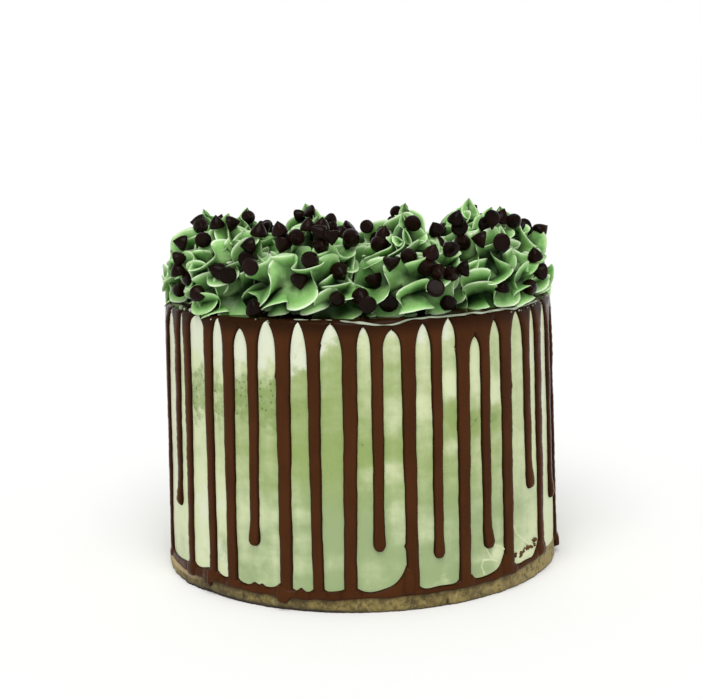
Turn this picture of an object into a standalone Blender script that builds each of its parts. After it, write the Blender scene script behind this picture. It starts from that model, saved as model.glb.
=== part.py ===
"""Mint chocolate chip layer cake with a chocolate drip and piped swirls.

Metres, +Z up. The origin is the centre of the underside, and azimuth 0 is the
front of the cake (-Y), counted towards +X. The cake stands on its own thin base
layer, its frosted side is a solid tapered drum, the chocolate is one poured
skin over it, and ten ruffled swirls with chocolate chips stand in a ring on top.
"""
import math
import random

import bmesh
import bpy
import numpy as np
from mathutils import Matrix, Vector
from mathutils.bvhtree import BVHTree

MM = 0.001

# The drum of the cake
BASE_HEIGHT = 6.0 * MM
BODY_BOTTOM = 6.3 * MM
BODY_TOP = 142.9 * MM
FOOT_RADIUS = 107.4 * MM
RIM_RADIUS = 104.2 * MM
EDGE_ROUND = 2.5 * MM
DRUM_STEPS = 52
EDGE_STEPS = 2

# The chocolate poured over it
SKIN_GAP = 0.4 * MM
CAP_TOP = 145.3 * MM
CAP_UNDERSIDE = 143.3 * MM
CAP_OVERHANG = 1.6 * MM
CAP_ROUND = 2.4 * MM
SKIRT_END = 141.6 * MM
DRIP_TOP = 143.6 * MM
FLARE_END = 135.0 * MM
DRIP_SINK = 0.12 * MM
DRIP_DEPTH = 1.7 * MM
BULB_DEPTH = 2.9 * MM
POOL_FOOT = 9.0 * MM

# The pool of chocolate round the foot
POOL_LOW = 6.3 * MM
POOL_HIGH = 11.2 * MM
POOL_DEPTH = 3.0 * MM
POOL_GAP = 0.35 * MM
POOL_STEPS = 52

# The drips that show from the front: azimuth in degrees, width in mm, and the height
# in mm of the free end, or None where the drip runs down into the pool
FRONT_DRIPS = [
    (-92.0, 6.4, None), (-77.5, 6.4, None), (-64.2, 6.2, 40), (-57.1, 6.4, None),
    (-46.1, 6.2, None), (-38.1, 7.2, None), (-29.9, 6.0, 31), (-20.7, 7.6, None),
    (-12.1, 6.3, None), (-2.6, 7.2, None), (4.6, 5.9, 31), (13.1, 7.0, None),
    (20.9, 5.7, 25), (28.8, 7.5, None), (36.3, 6.1, 25), (44.3, 8.0, None),
    (54.0, 6.2, 49), (61.7, 7.0, None), (71.5, 6.0, 36), (80.5, 6.2, None),
    (94.0, 6.0, 73),
]
BACK_DRIP_START = 103.0
BACK_DRIP_END = 258.5
BACK_DRIP_COUNT = 18
BACK_FREE_SHARE = 0.42
BACK_SEED = 7

# The piped swirls
SWIRL_COUNT = 10
FIRST_SWIRL = -18.0
SWIRL_RING = 80.0 * MM
SWIRL_FLOOR = 145.6 * MM
SWIRL_LIMIT = 107.6 * MM
PRESS_IN = 0.8 * MM
PRESS_BELOW = 1.0 * MM
PRESS_ASIDE = 1.2 * MM
PRESS_OUTSIDE = 2.0 * MM
SIDE_CLEARANCE = 0.2 * MM
WEDGE_LENGTH = 150.0 * MM
WEDGE_HEIGHT = 70.0 * MM
PATH_REACH_OUT = 14.0 * MM
PATH_REACH_ASIDE = 16.0 * MM
PATH_START = 5.5 * MM
SHOULDER = 0.62
SHOULDER_SHARE = 0.80
TURNS = 1.8
PATH_STEPS = 130
FINS = 7
FIN_POINTS = 8
FIN_REACH = 14.8 * MM
FIN_ROOT = 3.4 * MM
FIN_THICKNESS = 2.4 * MM
RUFFLE_DEPTH = 8.0 * MM
RUFFLE_FOLD = 4.0 * MM
RUFFLE_LENGTH = 18.0 * MM
RUFFLE_SHIFT = 0.5
SKIN_VOXEL = 1.6 * MM
SWIRL_TRIANGLES = 540
CHIPPED_TRIANGLES = 665
TRIES = 12
MORE_EACH_TRY = 9
UNTANGLE_ROUNDS = 40

# Each swirl in turn: height of its peak in mm, sideways lean of the peak in mm,
# bearing where the piping starts, and how far its fins turn along the way
SWIRLS = [
    (50, 5, 0.5, 5.6), (50, 1, 1.8, 7.0), (49, 3, 3.1, 8.4), (47, -3, 4.4, 6.3),
    (49, 0, 5.7, 7.0), (46, -5, 7.0, 8.4), (47, 4, 8.3, 5.6), (47, 0, 9.6, 7.0),
    (49, -4, 10.9, 8.4), (50, -5, 12.2, 7.0),
]

# The chocolate chips
CHIP_RADIUS = 4.3 * MM
CHIP_NECK_RADIUS = 2.7 * MM
CHIP_NECK_HEIGHT = 4.2 * MM
CHIP_HEIGHT = 7.2 * MM
CHIP_SIDES = 7
CHIPS_PER_SWIRL = 9
CHIP_CLEARANCE = 4.9 * MM
CENTRE_CHIPS = 9
CHIP_REST = 2.7 * MM
CENTRE_REACH = 42.0 * MM
LOWEST_CHIP = 0.14
HIGHEST_CHIP = 0.90
GOLDEN_SHARE = 0.5 * (math.sqrt(5.0) - 1.0)
GOLDEN_ANGLE = 2.0 * math.pi * (1.0 - GOLDEN_SHARE)

# Colours are linear RGB
BASE_COLOUR = (0.30, 0.25, 0.10)
CREAM_COLOUR = (0.55, 0.66, 0.38)
CHOCOLATE_COLOUR = (0.072, 0.020, 0.009)
MINT_COLOUR = (0.18, 0.37, 0.13)


def clear_scene():
    for item in list(bpy.data.objects):
        bpy.data.objects.remove(item)


def make_collection(name):
    group = bpy.data.collections.new(name)
    bpy.context.scene.collection.children.link(group)
    return group


def make_material(name, colour, roughness):
    material = bpy.data.materials.new(name)
    material.use_nodes = True
    shader = material.node_tree.nodes["Principled BSDF"]
    shader.inputs["Base Color"].default_value = (*colour, 1.0)
    shader.inputs["Roughness"].default_value = roughness
    shader.inputs["Metallic"].default_value = 0.0
    return material


def add_object(name, mesh, group, material=None):
    item = bpy.data.objects.new(name, mesh)
    group.objects.link(item)
    if material is not None:
        mesh.materials.append(material)
    return item


def mesh_of(name, points, faces):
    mesh = bpy.data.meshes.new(name)
    mesh.from_pydata([tuple(point) for point in points], [], faces)
    mesh.update()
    return mesh


def evaluated_mesh(item):
    """The object's mesh with its modifiers applied, as a new mesh."""
    graph = bpy.context.evaluated_depsgraph_get()
    return bpy.data.meshes.new_from_object(item.evaluated_get(graph))


def wall_radius(height):
    """The cake widens a little from its rim down to its foot."""
    share = height / BODY_TOP
    return FOOT_RADIUS + (RIM_RADIUS - FOOT_RADIUS) * share


def on_wall(azimuth, depth, height):
    """A point that stands off the frosted wall by the given depth."""
    radius = wall_radius(height) + depth
    return Vector((radius * math.sin(azimuth), -radius * math.cos(azimuth), height))


def turned(name, profile, steps, group, material):
    """A profile of (radius, height) pairs, top to bottom, turned about Z."""
    points = [(radius, 0.0, height) for radius, height in profile]
    edges = [(i, i + 1) for i in range(len(points) - 1)]
    mesh = bpy.data.meshes.new(name)
    mesh.from_pydata(points, edges, [])
    item = add_object(name, mesh, group, material)
    screw = item.modifiers.new("turn", "SCREW")
    screw.steps = steps
    screw.render_steps = steps
    screw.use_merge_vertices = True
    screw.merge_threshold = 0.00001
    return item


def rounded_edge(radius, height, corner):
    """Points of a quarter round from the flat top over to the side."""
    points = []
    for i in range(EDGE_STEPS + 1):
        angle = 0.5 * math.pi * i / EDGE_STEPS
        points.append((radius - corner + corner * math.sin(angle),
                       height - corner + corner * math.cos(angle)))
    return points


def build_base(group):
    material = make_material("base_layer", BASE_COLOUR, 0.8)
    profile = [(0.0, BASE_HEIGHT), (FOOT_RADIUS, BASE_HEIGHT), (FOOT_RADIUS, 0.0), (0.0, 0.0)]
    return turned("base_layer", profile, DRUM_STEPS, group, material)


def build_body(group):
    material = make_material("buttercream", CREAM_COLOUR, 0.55)
    profile = [(0.0, BODY_TOP)]
    profile += rounded_edge(RIM_RADIUS, BODY_TOP, EDGE_ROUND)
    profile += [(FOOT_RADIUS, BODY_BOTTOM), (0.0, BODY_BOTTOM)]
    return turned("cake_body", profile, DRUM_STEPS, group, material)


def build_cap(group, material):
    """The chocolate on top of the cake and over its edge, before the drips join it."""
    outer = RIM_RADIUS + CAP_OVERHANG
    inner = RIM_RADIUS + SKIN_GAP
    profile = [(0.0, CAP_TOP)]
    profile += rounded_edge(outer, CAP_TOP, CAP_ROUND)
    profile += [(outer, SKIRT_END), (inner, SKIRT_END)]
    profile += rounded_edge(inner, CAP_UNDERSIDE, EDGE_ROUND)[-2::-1]
    profile += [(0.0, CAP_UNDERSIDE)]
    return turned("ganache_drip", profile, DRUM_STEPS, group, material)


def drip_section(azimuth, width, depth, height):
    """Four points of a drip's section, from its left edge over its front to its right."""
    inner = SKIN_GAP + DRIP_SINK
    shape = [(-0.5, 0.0), (-0.27, 1.0), (0.27, 1.0), (0.5, 0.0)]
    points = []
    for across, out in shape:
        angle = azimuth + across * width / wall_radius(height)
        points.append(on_wall(angle, inner + out * depth, height))
    return points


def loft(sections):
    """Faces between sections of equal length, with both ends closed."""
    count = len(sections[0])
    faces = []
    for row in range(len(sections) - 1):
        for i in range(count):
            j = (i + 1) % count
            low = (row + 1) * count
            high = row * count
            faces.append((high + i, low + i, low + j, high + j))
    last = (len(sections) - 1) * count
    faces.append(tuple(range(count)))
    faces.append(tuple(last + i for i in reversed(range(count))))
    return faces


def build_drip(name, azimuth, width, free_end, group):
    """One drip: flared where it leaves the edge, even below, with a bulb or a foot."""
    rows = [(DRIP_TOP, 1.8 * width, 0.5 * DRIP_DEPTH), (FLARE_END, width, DRIP_DEPTH)]
    if free_end is None:
        rows.append((24.0 * MM, 0.95 * width, DRIP_DEPTH))
        rows.append((POOL_FOOT, 1.5 * width, POOL_DEPTH))
    else:
        rows.append((free_end + 14.0 * MM, 0.92 * width, DRIP_DEPTH))
        rows.append((free_end + 4.5 * MM, 1.2 * width, BULB_DEPTH))
        rows.append((free_end, 0.5 * width, 0.5 * BULB_DEPTH))
    sections = [drip_section(azimuth, wide, deep, height) for height, wide, deep in rows]
    points = [point for section in sections for point in section]
    return add_object(name, mesh_of(name, points, loft(sections)), group)


def back_drips():
    """The drips behind, spaced and ended by a seeded rule like those in front."""
    draw = random.Random(BACK_SEED)
    pitch = (BACK_DRIP_END - BACK_DRIP_START) / (BACK_DRIP_COUNT - 1)
    drips = []
    for i in range(BACK_DRIP_COUNT):
        azimuth = BACK_DRIP_START + pitch * i + draw.uniform(-1.0, 1.0)
        width = draw.uniform(5.8, 7.5)
        free = draw.uniform(20.0, 60.0) if draw.random() < BACK_FREE_SHARE else None
        drips.append((azimuth, width, free))
    return drips


def pool_wave(angle):
    """A slow uneven wave between -1 and 1 round the foot of the cake."""
    return 0.5 * math.sin(5.0 * angle + 0.7) + 0.5 * math.sin(13.0 * angle + 2.1)


def build_pool(group):
    """The uneven ring of chocolate that gathered round the foot."""
    sections = []
    for i in range(POOL_STEPS):
        angle = 2.0 * math.pi * i / POOL_STEPS
        low = POOL_LOW - 0.5 * MM * pool_wave(angle + 1.0)
        high = POOL_HIGH + 0.9 * MM * pool_wave(angle)
        deep = POOL_DEPTH + 0.3 * MM * pool_wave(2.0 * angle)
        radius = FOOT_RADIUS + POOL_GAP
        rows = [(radius, low), (radius + deep, low + 1.2 * MM),
                (radius + 0.8 * deep, high - 1.5 * MM), (radius, high)]
        sections.append([(out * math.sin(angle), -out * math.cos(angle), up) for out, up in rows])
    count = len(sections[0])
    points = [point for section in sections for point in section]
    faces = []
    for i in range(POOL_STEPS):
        here = i * count
        there = (i + 1) % POOL_STEPS * count
        for k in range(count):
            m = (k + 1) % count
            faces.append((here + k, there + k, there + m, here + m))
    return add_object("pool", mesh_of("pool", points, faces), group)


def chip_mesh(name):
    """A chip: flat round base, swelling side and a small tip."""
    points = []
    for radius, height in ((CHIP_RADIUS, 0.0), (CHIP_NECK_RADIUS, CHIP_NECK_HEIGHT)):
        for i in range(CHIP_SIDES):
            angle = 2.0 * math.pi * i / CHIP_SIDES
            points.append((radius * math.cos(angle), radius * math.sin(angle), height))
    points.append((0.0, 0.0, CHIP_HEIGHT))
    faces = [tuple(reversed(range(CHIP_SIDES)))]
    for i in range(CHIP_SIDES):
        j = (i + 1) % CHIP_SIDES
        faces.append((i, j, CHIP_SIDES + j, CHIP_SIDES + i))
        faces.append((CHIP_SIDES + i, CHIP_SIDES + j, 2 * CHIP_SIDES))
    return mesh_of(name, points, faces)


def place_chip(name, centre, axis, group):
    """A chip whose middle is at centre and whose tip points along axis."""
    turn = axis.to_track_quat("Z", "Y").to_matrix().to_4x4()
    sink = Matrix.Translation((0.0, 0.0, -0.4 * CHIP_HEIGHT))
    mesh = chip_mesh(name)
    mesh.transform(Matrix.Translation(centre) @ turn @ sink)
    return add_object(name, mesh, group)


def centre_chips(group):
    """Chips on the chocolate inside the ring of swirls, upright and on their side by turns."""
    draw = random.Random(3)
    for i in range(CENTRE_CHIPS):
        reach = CENTRE_REACH * math.sqrt((i + 0.5) / CENTRE_CHIPS)
        angle = i * GOLDEN_ANGLE + draw.uniform(-0.2, 0.2)
        roll = draw.uniform(0.0, 2.0 * math.pi)
        rise = 4.0 if i % 2 else 0.3
        tilt = Vector((math.cos(roll), math.sin(roll), rise)).normalized()
        centre = Vector((reach * math.sin(angle), -reach * math.cos(angle), CAP_TOP + CHIP_REST))
        place_chip(f"centre_chip_{i}", centre, tilt, group)


def join(item, pieces, solver):
    """Join every object of the collection to the item, and remove them."""
    union = item.modifiers.new("union", "BOOLEAN")
    union.operation = "UNION"
    union.operand_type = "COLLECTION"
    union.collection = pieces
    union.solver = solver
    mesh = evaluated_mesh(item)
    item.modifiers.clear()
    item.data = mesh
    for piece in list(pieces.objects):
        bpy.data.objects.remove(piece)


def build_ganache(group, pieces):
    material = make_material("ganache", CHOCOLATE_COLOUR, 0.3)
    cap = build_cap(group, material)
    for i, (azimuth, width, free_end) in enumerate(FRONT_DRIPS + back_drips()):
        end = None if free_end is None else free_end * MM
        build_drip(f"drip_{i}", math.radians(azimuth), width * MM, end, pieces)
    build_pool(pieces)
    centre_chips(pieces)
    join(cap, pieces, "MANIFOLD")
    return cap


def press(distance, soft):
    """Squash a distance softly, so that what would pass the boundary spreads along it."""
    return soft * np.logaddexp(0.0, distance / soft) - PRESS_IN


def swirl_path(peak, lean, bearing):
    """The nozzle's way: round the foot, winding inwards and up to the pulled peak."""
    way = np.linspace(0.0, 1.0, PATH_STEPS)
    wind = np.clip(way / SHOULDER_SHARE, 0.0, 1.0)
    pull = np.clip((way - SHOULDER_SHARE) / (1.0 - SHOULDER_SHARE), 0.0, 1.0)
    angle = bearing + 2.0 * np.pi * TURNS * wind
    close = 1.0 - wind ** 3.0
    shoulder = SHOULDER * peak
    height = PATH_START + (shoulder - PATH_START) * wind ** 1.1 + (peak - shoulder) * pull ** 0.9
    outward = PATH_REACH_OUT * close * np.cos(angle)
    aside = PATH_REACH_ASIDE * close * np.sin(angle) + lean * way ** 3
    centre = np.stack([outward, aside, height], 1)
    return centre, wind, pull, way


def path_frames(centre):
    """Unit tangent and two cross directions carried along the path without spin."""
    tangent = np.gradient(centre, axis=0)
    tangent /= np.linalg.norm(tangent, axis=1)[:, None]
    side = np.zeros_like(centre)
    carried = np.cross(tangent[0], [0.0, 0.0, 1.0])
    for i, direction in enumerate(tangent):
        carried = carried - direction * carried.dot(direction)
        carried /= np.linalg.norm(carried)
        side[i] = carried
    return tangent, side, np.cross(side, tangent)


def swirl_rings(number, peak, lean, bearing, twist):
    """Sections of the piped rope: a star of thin fins, ruffled more towards their edges."""
    centre, wind, pull, way = swirl_path(peak, lean, bearing)
    tangent, side, above = path_frames(centre)
    steps = np.linalg.norm(np.diff(centre, axis=0), axis=1)
    run = np.concatenate([[0.0], np.cumsum(steps)]) / MM
    swell = np.minimum(1.0, 0.35 + 0.65 * np.sqrt(run / 9.0))
    size = swell * (1.0 - 0.15 * wind ** 2) * (1.0 - pull) ** 0.75
    size = np.clip(size, 0.03, None)
    calm = 1.0 - 0.75 * pull
    half = FIN_POINTS // 2
    out = np.concatenate([np.linspace(0.0, 1.0, half), np.linspace(1.0, 0.0, half)])
    face = np.concatenate([-np.ones(half), np.ones(half)])
    rings = np.zeros((PATH_STEPS, FINS * FIN_POINTS, 3))
    for fin in range(FINS):
        shift = 1.3 * fin + number
        turn = 2.0 * np.pi * fin / FINS + twist * way + 0.35 * np.sin(0.16 * run + 1.7 * fin + number)
        length = RUFFLE_LENGTH / MM * (1.0 + 0.04 * math.sin(2.1 * fin + number))
        phase = 2.0 * np.pi * run / length + RUFFLE_SHIFT * fin + 1.1 * np.sin(run / 15.0 + shift)
        scallop = 0.86 + 0.16 * np.abs(np.sin(phase)) + 0.10 * np.sin(run / 9.0 + 2.3 * fin + number)
        for k in range(FIN_POINTS):
            reach = FIN_ROOT + (FIN_REACH * scallop - FIN_ROOT) * out[k]
            thick = 2.2 * MM * (1.0 - out[k]) ** 1.6 + 0.5 * FIN_THICKNESS * (1.0 - 0.85 * out[k] ** 8)
            bend = out[k] ** 1.3 * calm
            across = face[k] * thick + RUFFLE_DEPTH * bend * np.sin(phase)
            along = -RUFFLE_FOLD * bend * np.sin(2.0 * phase) * size
            sideways = (reach * np.cos(turn) - across * np.sin(turn)) * size
            upwards = (reach * np.sin(turn) + across * np.cos(turn)) * size
            rings[:, fin * FIN_POINTS + k] = (centre + sideways[:, None] * side
                                              + upwards[:, None] * above + along[:, None] * tangent)
    return rings


def side_planes():
    """Normals of the two upright planes that a swirl shares with its neighbours."""
    half = math.pi / SWIRL_COUNT
    return [(math.sin(half), hand * math.cos(half)) for hand in (-1.0, 1.0)]


def settle(rings):
    """Press the rope on the chocolate below, against the swirls beside it and to the cake's rim."""
    rings[..., 2] = press(rings[..., 2], PRESS_BELOW)
    across = rings[..., 0] + SWIRL_RING
    aside = rings[..., 1]
    reach = np.hypot(across, aside)
    kept = (SWIRL_LIMIT - press(SWIRL_LIMIT - reach, PRESS_OUTSIDE)) / reach
    across = across * kept
    aside = aside * kept
    for normal in side_planes():
        distance = across * normal[0] + aside * normal[1]
        moved = press(distance, PRESS_ASIDE) - distance
        across = across + moved * normal[0]
        aside = aside + moved * normal[1]
    rings[..., 0] = across - SWIRL_RING
    rings[..., 1] = aside
    return rings


def space_of_swirl(group):
    """A wedge of the ring, a hair narrower than one swirl's share, standing on the chocolate."""
    half = math.pi / SWIRL_COUNT
    apex = SIDE_CLEARANCE / math.sin(half) - SWIRL_RING
    length = WEDGE_LENGTH
    outline = [(apex, 0.0), (apex + length, -length * math.tan(half)),
               (apex + length, length * math.tan(half))]
    points = [(x, y, height) for height in (0.0, WEDGE_HEIGHT) for x, y in outline]
    faces = [(2, 1, 0), (3, 4, 5), (0, 1, 4, 3), (1, 2, 5, 4), (2, 0, 3, 5)]
    wedge = add_object("space_of_swirl", mesh_of("space_of_swirl", points, faces), group)
    wedge.hide_render = True
    wedge.display_type = "WIRE"
    return wedge


def trim(item, wedge):
    """Cut away whatever reaches past the swirl's own space."""
    cut = item.modifiers.new("trim", "BOOLEAN")
    cut.operation = "INTERSECT"
    cut.object = wedge
    cut.solver = "MANIFOLD"
    item.data = evaluated_mesh(item)
    item.modifiers.clear()


def keep_largest(mesh):
    """Drop loose scraps, keeping the connected body with the most vertices."""
    form = bmesh.new()
    form.from_mesh(mesh)
    unseen = set(form.verts)
    bodies = []
    while unseen:
        front = [unseen.pop()]
        body = list(front)
        while front:
            vertex = front.pop()
            for edge in vertex.link_edges:
                other = edge.other_vert(vertex)
                if other in unseen:
                    unseen.remove(other)
                    front.append(other)
                    body.append(other)
        bodies.append(body)
    bodies.sort(key=len)
    scraps = [vertex for body in bodies[:-1] for vertex in body]
    bmesh.ops.delete(form, geom=scraps, context="VERTS")
    form.to_mesh(mesh)
    form.free()


def thin_out(item, triangles):
    """Collapse short edges until the object has about the given number of triangles."""
    now = sum(len(face.vertices) - 2 for face in item.data.polygons)
    thin = item.modifiers.new("thin", "DECIMATE")
    thin.ratio = min(1.0, triangles / now)
    thin.use_collapse_triangulate = True
    item.data = evaluated_mesh(item)
    item.modifiers.clear()


def crossing_points(form):
    """Vertices of faces that run through each other."""
    form.verts.ensure_lookup_table()
    form.faces.ensure_lookup_table()
    tree = BVHTree.FromBMesh(form)
    found = set()
    for one, other in tree.overlap(tree):
        if one < other:
            first = set(form.faces[one].verts)
            second = set(form.faces[other].verts)
            if not first & second:
                found |= first | second
    return found


def untangle(mesh):
    """Ease the points of thin folds that cross towards their neighbours; true once none do."""
    form = bmesh.new()
    form.from_mesh(mesh)
    bmesh.ops.triangulate(form, faces=form.faces[:])
    tangled = crossing_points(form)
    for _ in range(UNTANGLE_ROUNDS):
        if not tangled:
            break
        eased = {}
        for vertex in tangled:
            around = [edge.other_vert(vertex).co for edge in vertex.link_edges]
            middle = sum(around, Vector()) / len(around)
            eased[vertex] = vertex.co.lerp(middle, 0.4)
        for vertex, place in eased.items():
            vertex.co = place
        tangled = crossing_points(form)
    form.to_mesh(mesh)
    form.free()
    return not tangled


def finish_cleanly(item, wedge):
    """Thin out, untangle and trim the swirl, with a few more triangles each time folds still cross."""
    whole = item.data
    for attempt in range(TRIES):
        item.data = whole.copy()
        thin_out(item, CHIPPED_TRIANGLES + MORE_EACH_TRY * attempt)
        untangle(item.data)
        trim(item, wedge)
        keep_largest(item.data)
        if untangle(item.data):
            break


def swirl_skin(name, rings, group, material):
    """One closed body from the rope's sections, with few faces."""
    steps, count, _ = rings.shape
    faces = []
    for row in range(steps - 1):
        for i in range(count):
            j = (i + 1) % count
            faces.append((row * count + i, row * count + j, (row + 1) * count + j, (row + 1) * count + i))
    faces.append(tuple(reversed(range(count))))
    faces.append(tuple((steps - 1) * count + i for i in range(count)))
    item = add_object(name, mesh_of(name, rings.reshape(-1, 3), faces), group, material)
    merge = item.modifiers.new("merge", "REMESH")
    merge.mode = "VOXEL"
    merge.voxel_size = SKIN_VOXEL
    item.data = evaluated_mesh(item)
    item.modifiers.clear()
    keep_largest(item.data)
    thin_out(item, SWIRL_TRIANGLES)
    untangle(item.data)
    return item


def chip_spots(number, peak):
    """Where a swirl's chips sit: bearing, height and tilt, evenly spread for any count."""
    draw = random.Random(100 + number)
    spots = []
    for i in range(CHIPS_PER_SWIRL):
        bearing = number + i * GOLDEN_ANGLE + draw.uniform(-0.3, 0.3)
        level = (0.3 + i * GOLDEN_SHARE) % 1.0
        height = peak * (LOWEST_CHIP + (HIGHEST_CHIP - LOWEST_CHIP) * level)
        tilt = Vector((draw.gauss(0.0, 1.0), draw.gauss(0.0, 1.0), draw.gauss(0.0, 1.0)))
        spots.append((bearing, height, tilt.normalized()))
    return spots


def add_chips(item, number, peak, pieces):
    """Set the chips into the swirl where a line towards its middle meets it."""
    skin = BVHTree.FromPolygons([vertex.co for vertex in item.data.vertices],
                                [tuple(face.vertices) for face in item.data.polygons])
    for i, (bearing, height, tilt) in enumerate(chip_spots(number, peak)):
        outward = Vector((math.cos(bearing), math.sin(bearing), 0.0))
        start = outward * 60.0 * MM + Vector((0.0, 0.0, height))
        hit = skin.ray_cast(start, -outward)[0]
        if hit is None:
            continue
        centre = hit + outward * 1.0 * MM
        centre.z = max(centre.z, CHIP_CLEARANCE)
        for normal in side_planes():
            distance = (centre.x + SWIRL_RING) * normal[0] + centre.y * normal[1]
            push = max(CHIP_CLEARANCE - distance, 0.0)
            centre += Vector((normal[0], normal[1], 0.0)) * push
        place_chip(f"chip_{number}_{i}", centre, (tilt + 0.6 * outward).normalized(), pieces)
    join(item, pieces, "MANIFOLD")


def build_swirl(number, group, pieces, wedge, material):
    """One piped swirl with its chips, standing on the chocolate at its place in the ring."""
    peak, lean, bearing, twist = SWIRLS[number]
    rings = settle(swirl_rings(number, peak * MM, lean * MM, bearing, twist))
    item = swirl_skin(f"swirl_{number + 1}", rings, group, material)
    add_chips(item, number, peak * MM, pieces)
    finish_cleanly(item, wedge)
    azimuth = math.radians(FIRST_SWIRL + 360.0 * number / SWIRL_COUNT)
    item.location = (SWIRL_RING * math.sin(azimuth), -SWIRL_RING * math.cos(azimuth), SWIRL_FLOOR)
    item.rotation_euler = (0.0, 0.0, azimuth - 0.5 * math.pi)
    return item


def build_cake():
    clear_scene()
    cake = make_collection("mint_chocolate_chip_cake")
    pieces = make_collection("pieces_to_join")
    build_base(cake)
    build_body(cake)
    build_ganache(cake, pieces)
    mint = make_material("mint_buttercream", MINT_COLOUR, 0.5)
    guides = make_collection("guides")
    wedge = space_of_swirl(guides)
    for number in range(SWIRL_COUNT):
        build_swirl(number, cake, pieces, wedge, mint)
    bpy.data.collections.remove(pieces)


build_cake()
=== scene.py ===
# %% [markdown]
# # A mint chocolate chip cake
#
# The cake is a tall drum of layers under pale mint buttercream. Chocolate was poured over
# its top and ran down the side in drips, and a ring of ruffled mint swirls stands on it,
# dotted with chocolate chips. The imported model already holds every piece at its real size,
# so it is loaded first, and each step below dresses one piece of it.

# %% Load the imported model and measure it
import math
import random

import bpy
import numpy as np
from mathutils import Matrix, Vector
from mathutils.bvhtree import BVHTree


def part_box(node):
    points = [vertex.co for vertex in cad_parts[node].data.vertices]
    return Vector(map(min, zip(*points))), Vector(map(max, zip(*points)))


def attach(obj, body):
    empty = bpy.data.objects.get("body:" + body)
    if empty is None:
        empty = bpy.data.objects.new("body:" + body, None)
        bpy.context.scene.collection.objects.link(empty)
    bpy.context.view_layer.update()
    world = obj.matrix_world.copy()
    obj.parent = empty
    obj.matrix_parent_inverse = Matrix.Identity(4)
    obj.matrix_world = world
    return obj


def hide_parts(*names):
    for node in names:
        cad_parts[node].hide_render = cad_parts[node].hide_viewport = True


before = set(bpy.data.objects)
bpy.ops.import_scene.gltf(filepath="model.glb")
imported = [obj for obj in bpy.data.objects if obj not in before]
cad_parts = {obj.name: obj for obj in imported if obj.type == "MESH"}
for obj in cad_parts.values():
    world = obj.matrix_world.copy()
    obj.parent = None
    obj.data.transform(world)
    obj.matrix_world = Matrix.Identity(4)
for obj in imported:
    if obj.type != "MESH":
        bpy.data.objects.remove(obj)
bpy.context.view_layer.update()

# %% [markdown]
# ## The drum
#
# Everything hangs on the drum's size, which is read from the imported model. The side leans in
# a little from foot to rim. An azimuth of zero is the front of the cake, and it counts
# towards the viewer's right, so a point on the wall is an azimuth, a height, and how far it
# stands off the wall.

# %% Sizes of the drum
MM = 0.001
BODY_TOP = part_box("cake_body")[1].z
FOOT_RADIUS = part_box("cake_body")[1].x
RIM_RADIUS = FOOT_RADIUS - 3.2 * MM
CAP_TOP = 145.3 * MM
WALL_TOP = CAP_TOP - 0.9 * MM
EDGE_ROUND = 1.5 * MM
QUARTER_TURN = 0.5 * math.pi


def wall_radius(height):
    return FOOT_RADIUS + (RIM_RADIUS - FOOT_RADIUS) * height / BODY_TOP


def wall_point(azimuth, out, height):
    """Points off the wall, for arrays of azimuths in radians, stand-offs and heights."""
    radius = wall_radius(height) + out
    return np.stack([radius * np.sin(azimuth), -radius * np.cos(azimuth), height], -1)


def degrees_from(azimuth, centre=0.0):
    """Degrees to the right of a centre, itself in degrees; to its left they are negative."""
    return (np.degrees(azimuth) - centre + 180.0) % 360.0 - 180.0


def arc(azimuth, centre=0.0):
    """The same as a distance round the foot, in mm."""
    return np.radians(degrees_from(azimuth, centre)) * FOOT_RADIUS / MM


print("drum radius", round(FOOT_RADIUS / MM, 1), "mm, top at", round(BODY_TOP / MM, 1), "mm")

# %% [markdown]
# ## Meshes from grids
#
# A frosted wall, a drip and a piped fin are all sheets that bend, so each is a grid of
# points worked out with numpy. Neighbouring points make four-sided faces, seen anticlockwise
# from outside, which is how Blender knows the outer side.

# %% Helpers that turn grids into pieces
def grid_faces(rows, columns, closed=True):
    """Faces of a grid of points; a closed grid joins its last column to its first."""
    index = np.arange(rows * columns).reshape(rows, columns)
    if closed:
        index = np.concatenate([index, index[:, :1]], 1)
    corners = [index[:-1, :-1], index[1:, :-1], index[1:, 1:], index[:-1, 1:]]
    return np.stack(corners, -1).reshape(-1, 4)


def drum_faces(rows, columns):
    """A closed grid and a fan at each end, to two middles that come after its points."""
    count = rows * columns
    faces = grid_faces(rows, columns).tolist()
    for i in range(columns):
        j = (i + 1) % columns
        faces += [[count, i, j], [count + 1, count - columns + j, count - columns + i]]
    return faces


def rope_faces(rows, columns):
    """A closed grid with one flat face at each end."""
    first = list(range(columns))
    last = [corner + (rows - 1) * columns for corner in reversed(first)]
    return grid_faces(rows, columns).tolist() + [first, last]


def turned_over(faces):
    """The same faces seen from the other side, for a grid whose columns run the other way."""
    return [face[::-1] for face in faces]


def joined(parts):
    """One list of points and one of faces from many pairs."""
    points, faces = [], []
    for part_points, part_faces in parts:
        start = len(points)
        points += list(part_points)
        faces += [[corner + start for corner in face] for face in part_faces]
    return np.array(points), faces


def make_piece(name, points, faces, finish, amounts=None):
    """A smooth mesh; amounts are named numbers for its points, and 0 past their last one."""
    mesh = bpy.data.meshes.new(name)
    mesh.from_pydata(points.reshape(-1, 3).tolist(), [], faces)
    for key, values in (amounts or {}).items():
        layer = mesh.attributes.new(key, "FLOAT", "POINT")
        values = np.pad(values.ravel(), (0, points.size // 3 - values.size))
        layer.data.foreach_set("value", values.astype(np.float32))
    mesh.update()
    mesh.shade_smooth()
    mesh.materials.append(finish)
    item = bpy.data.objects.new(name, mesh)
    bpy.context.scene.collection.objects.link(item)
    print(name, "has", sum(len(face.vertices) - 2 for face in mesh.polygons), "triangles")
    return item


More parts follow.
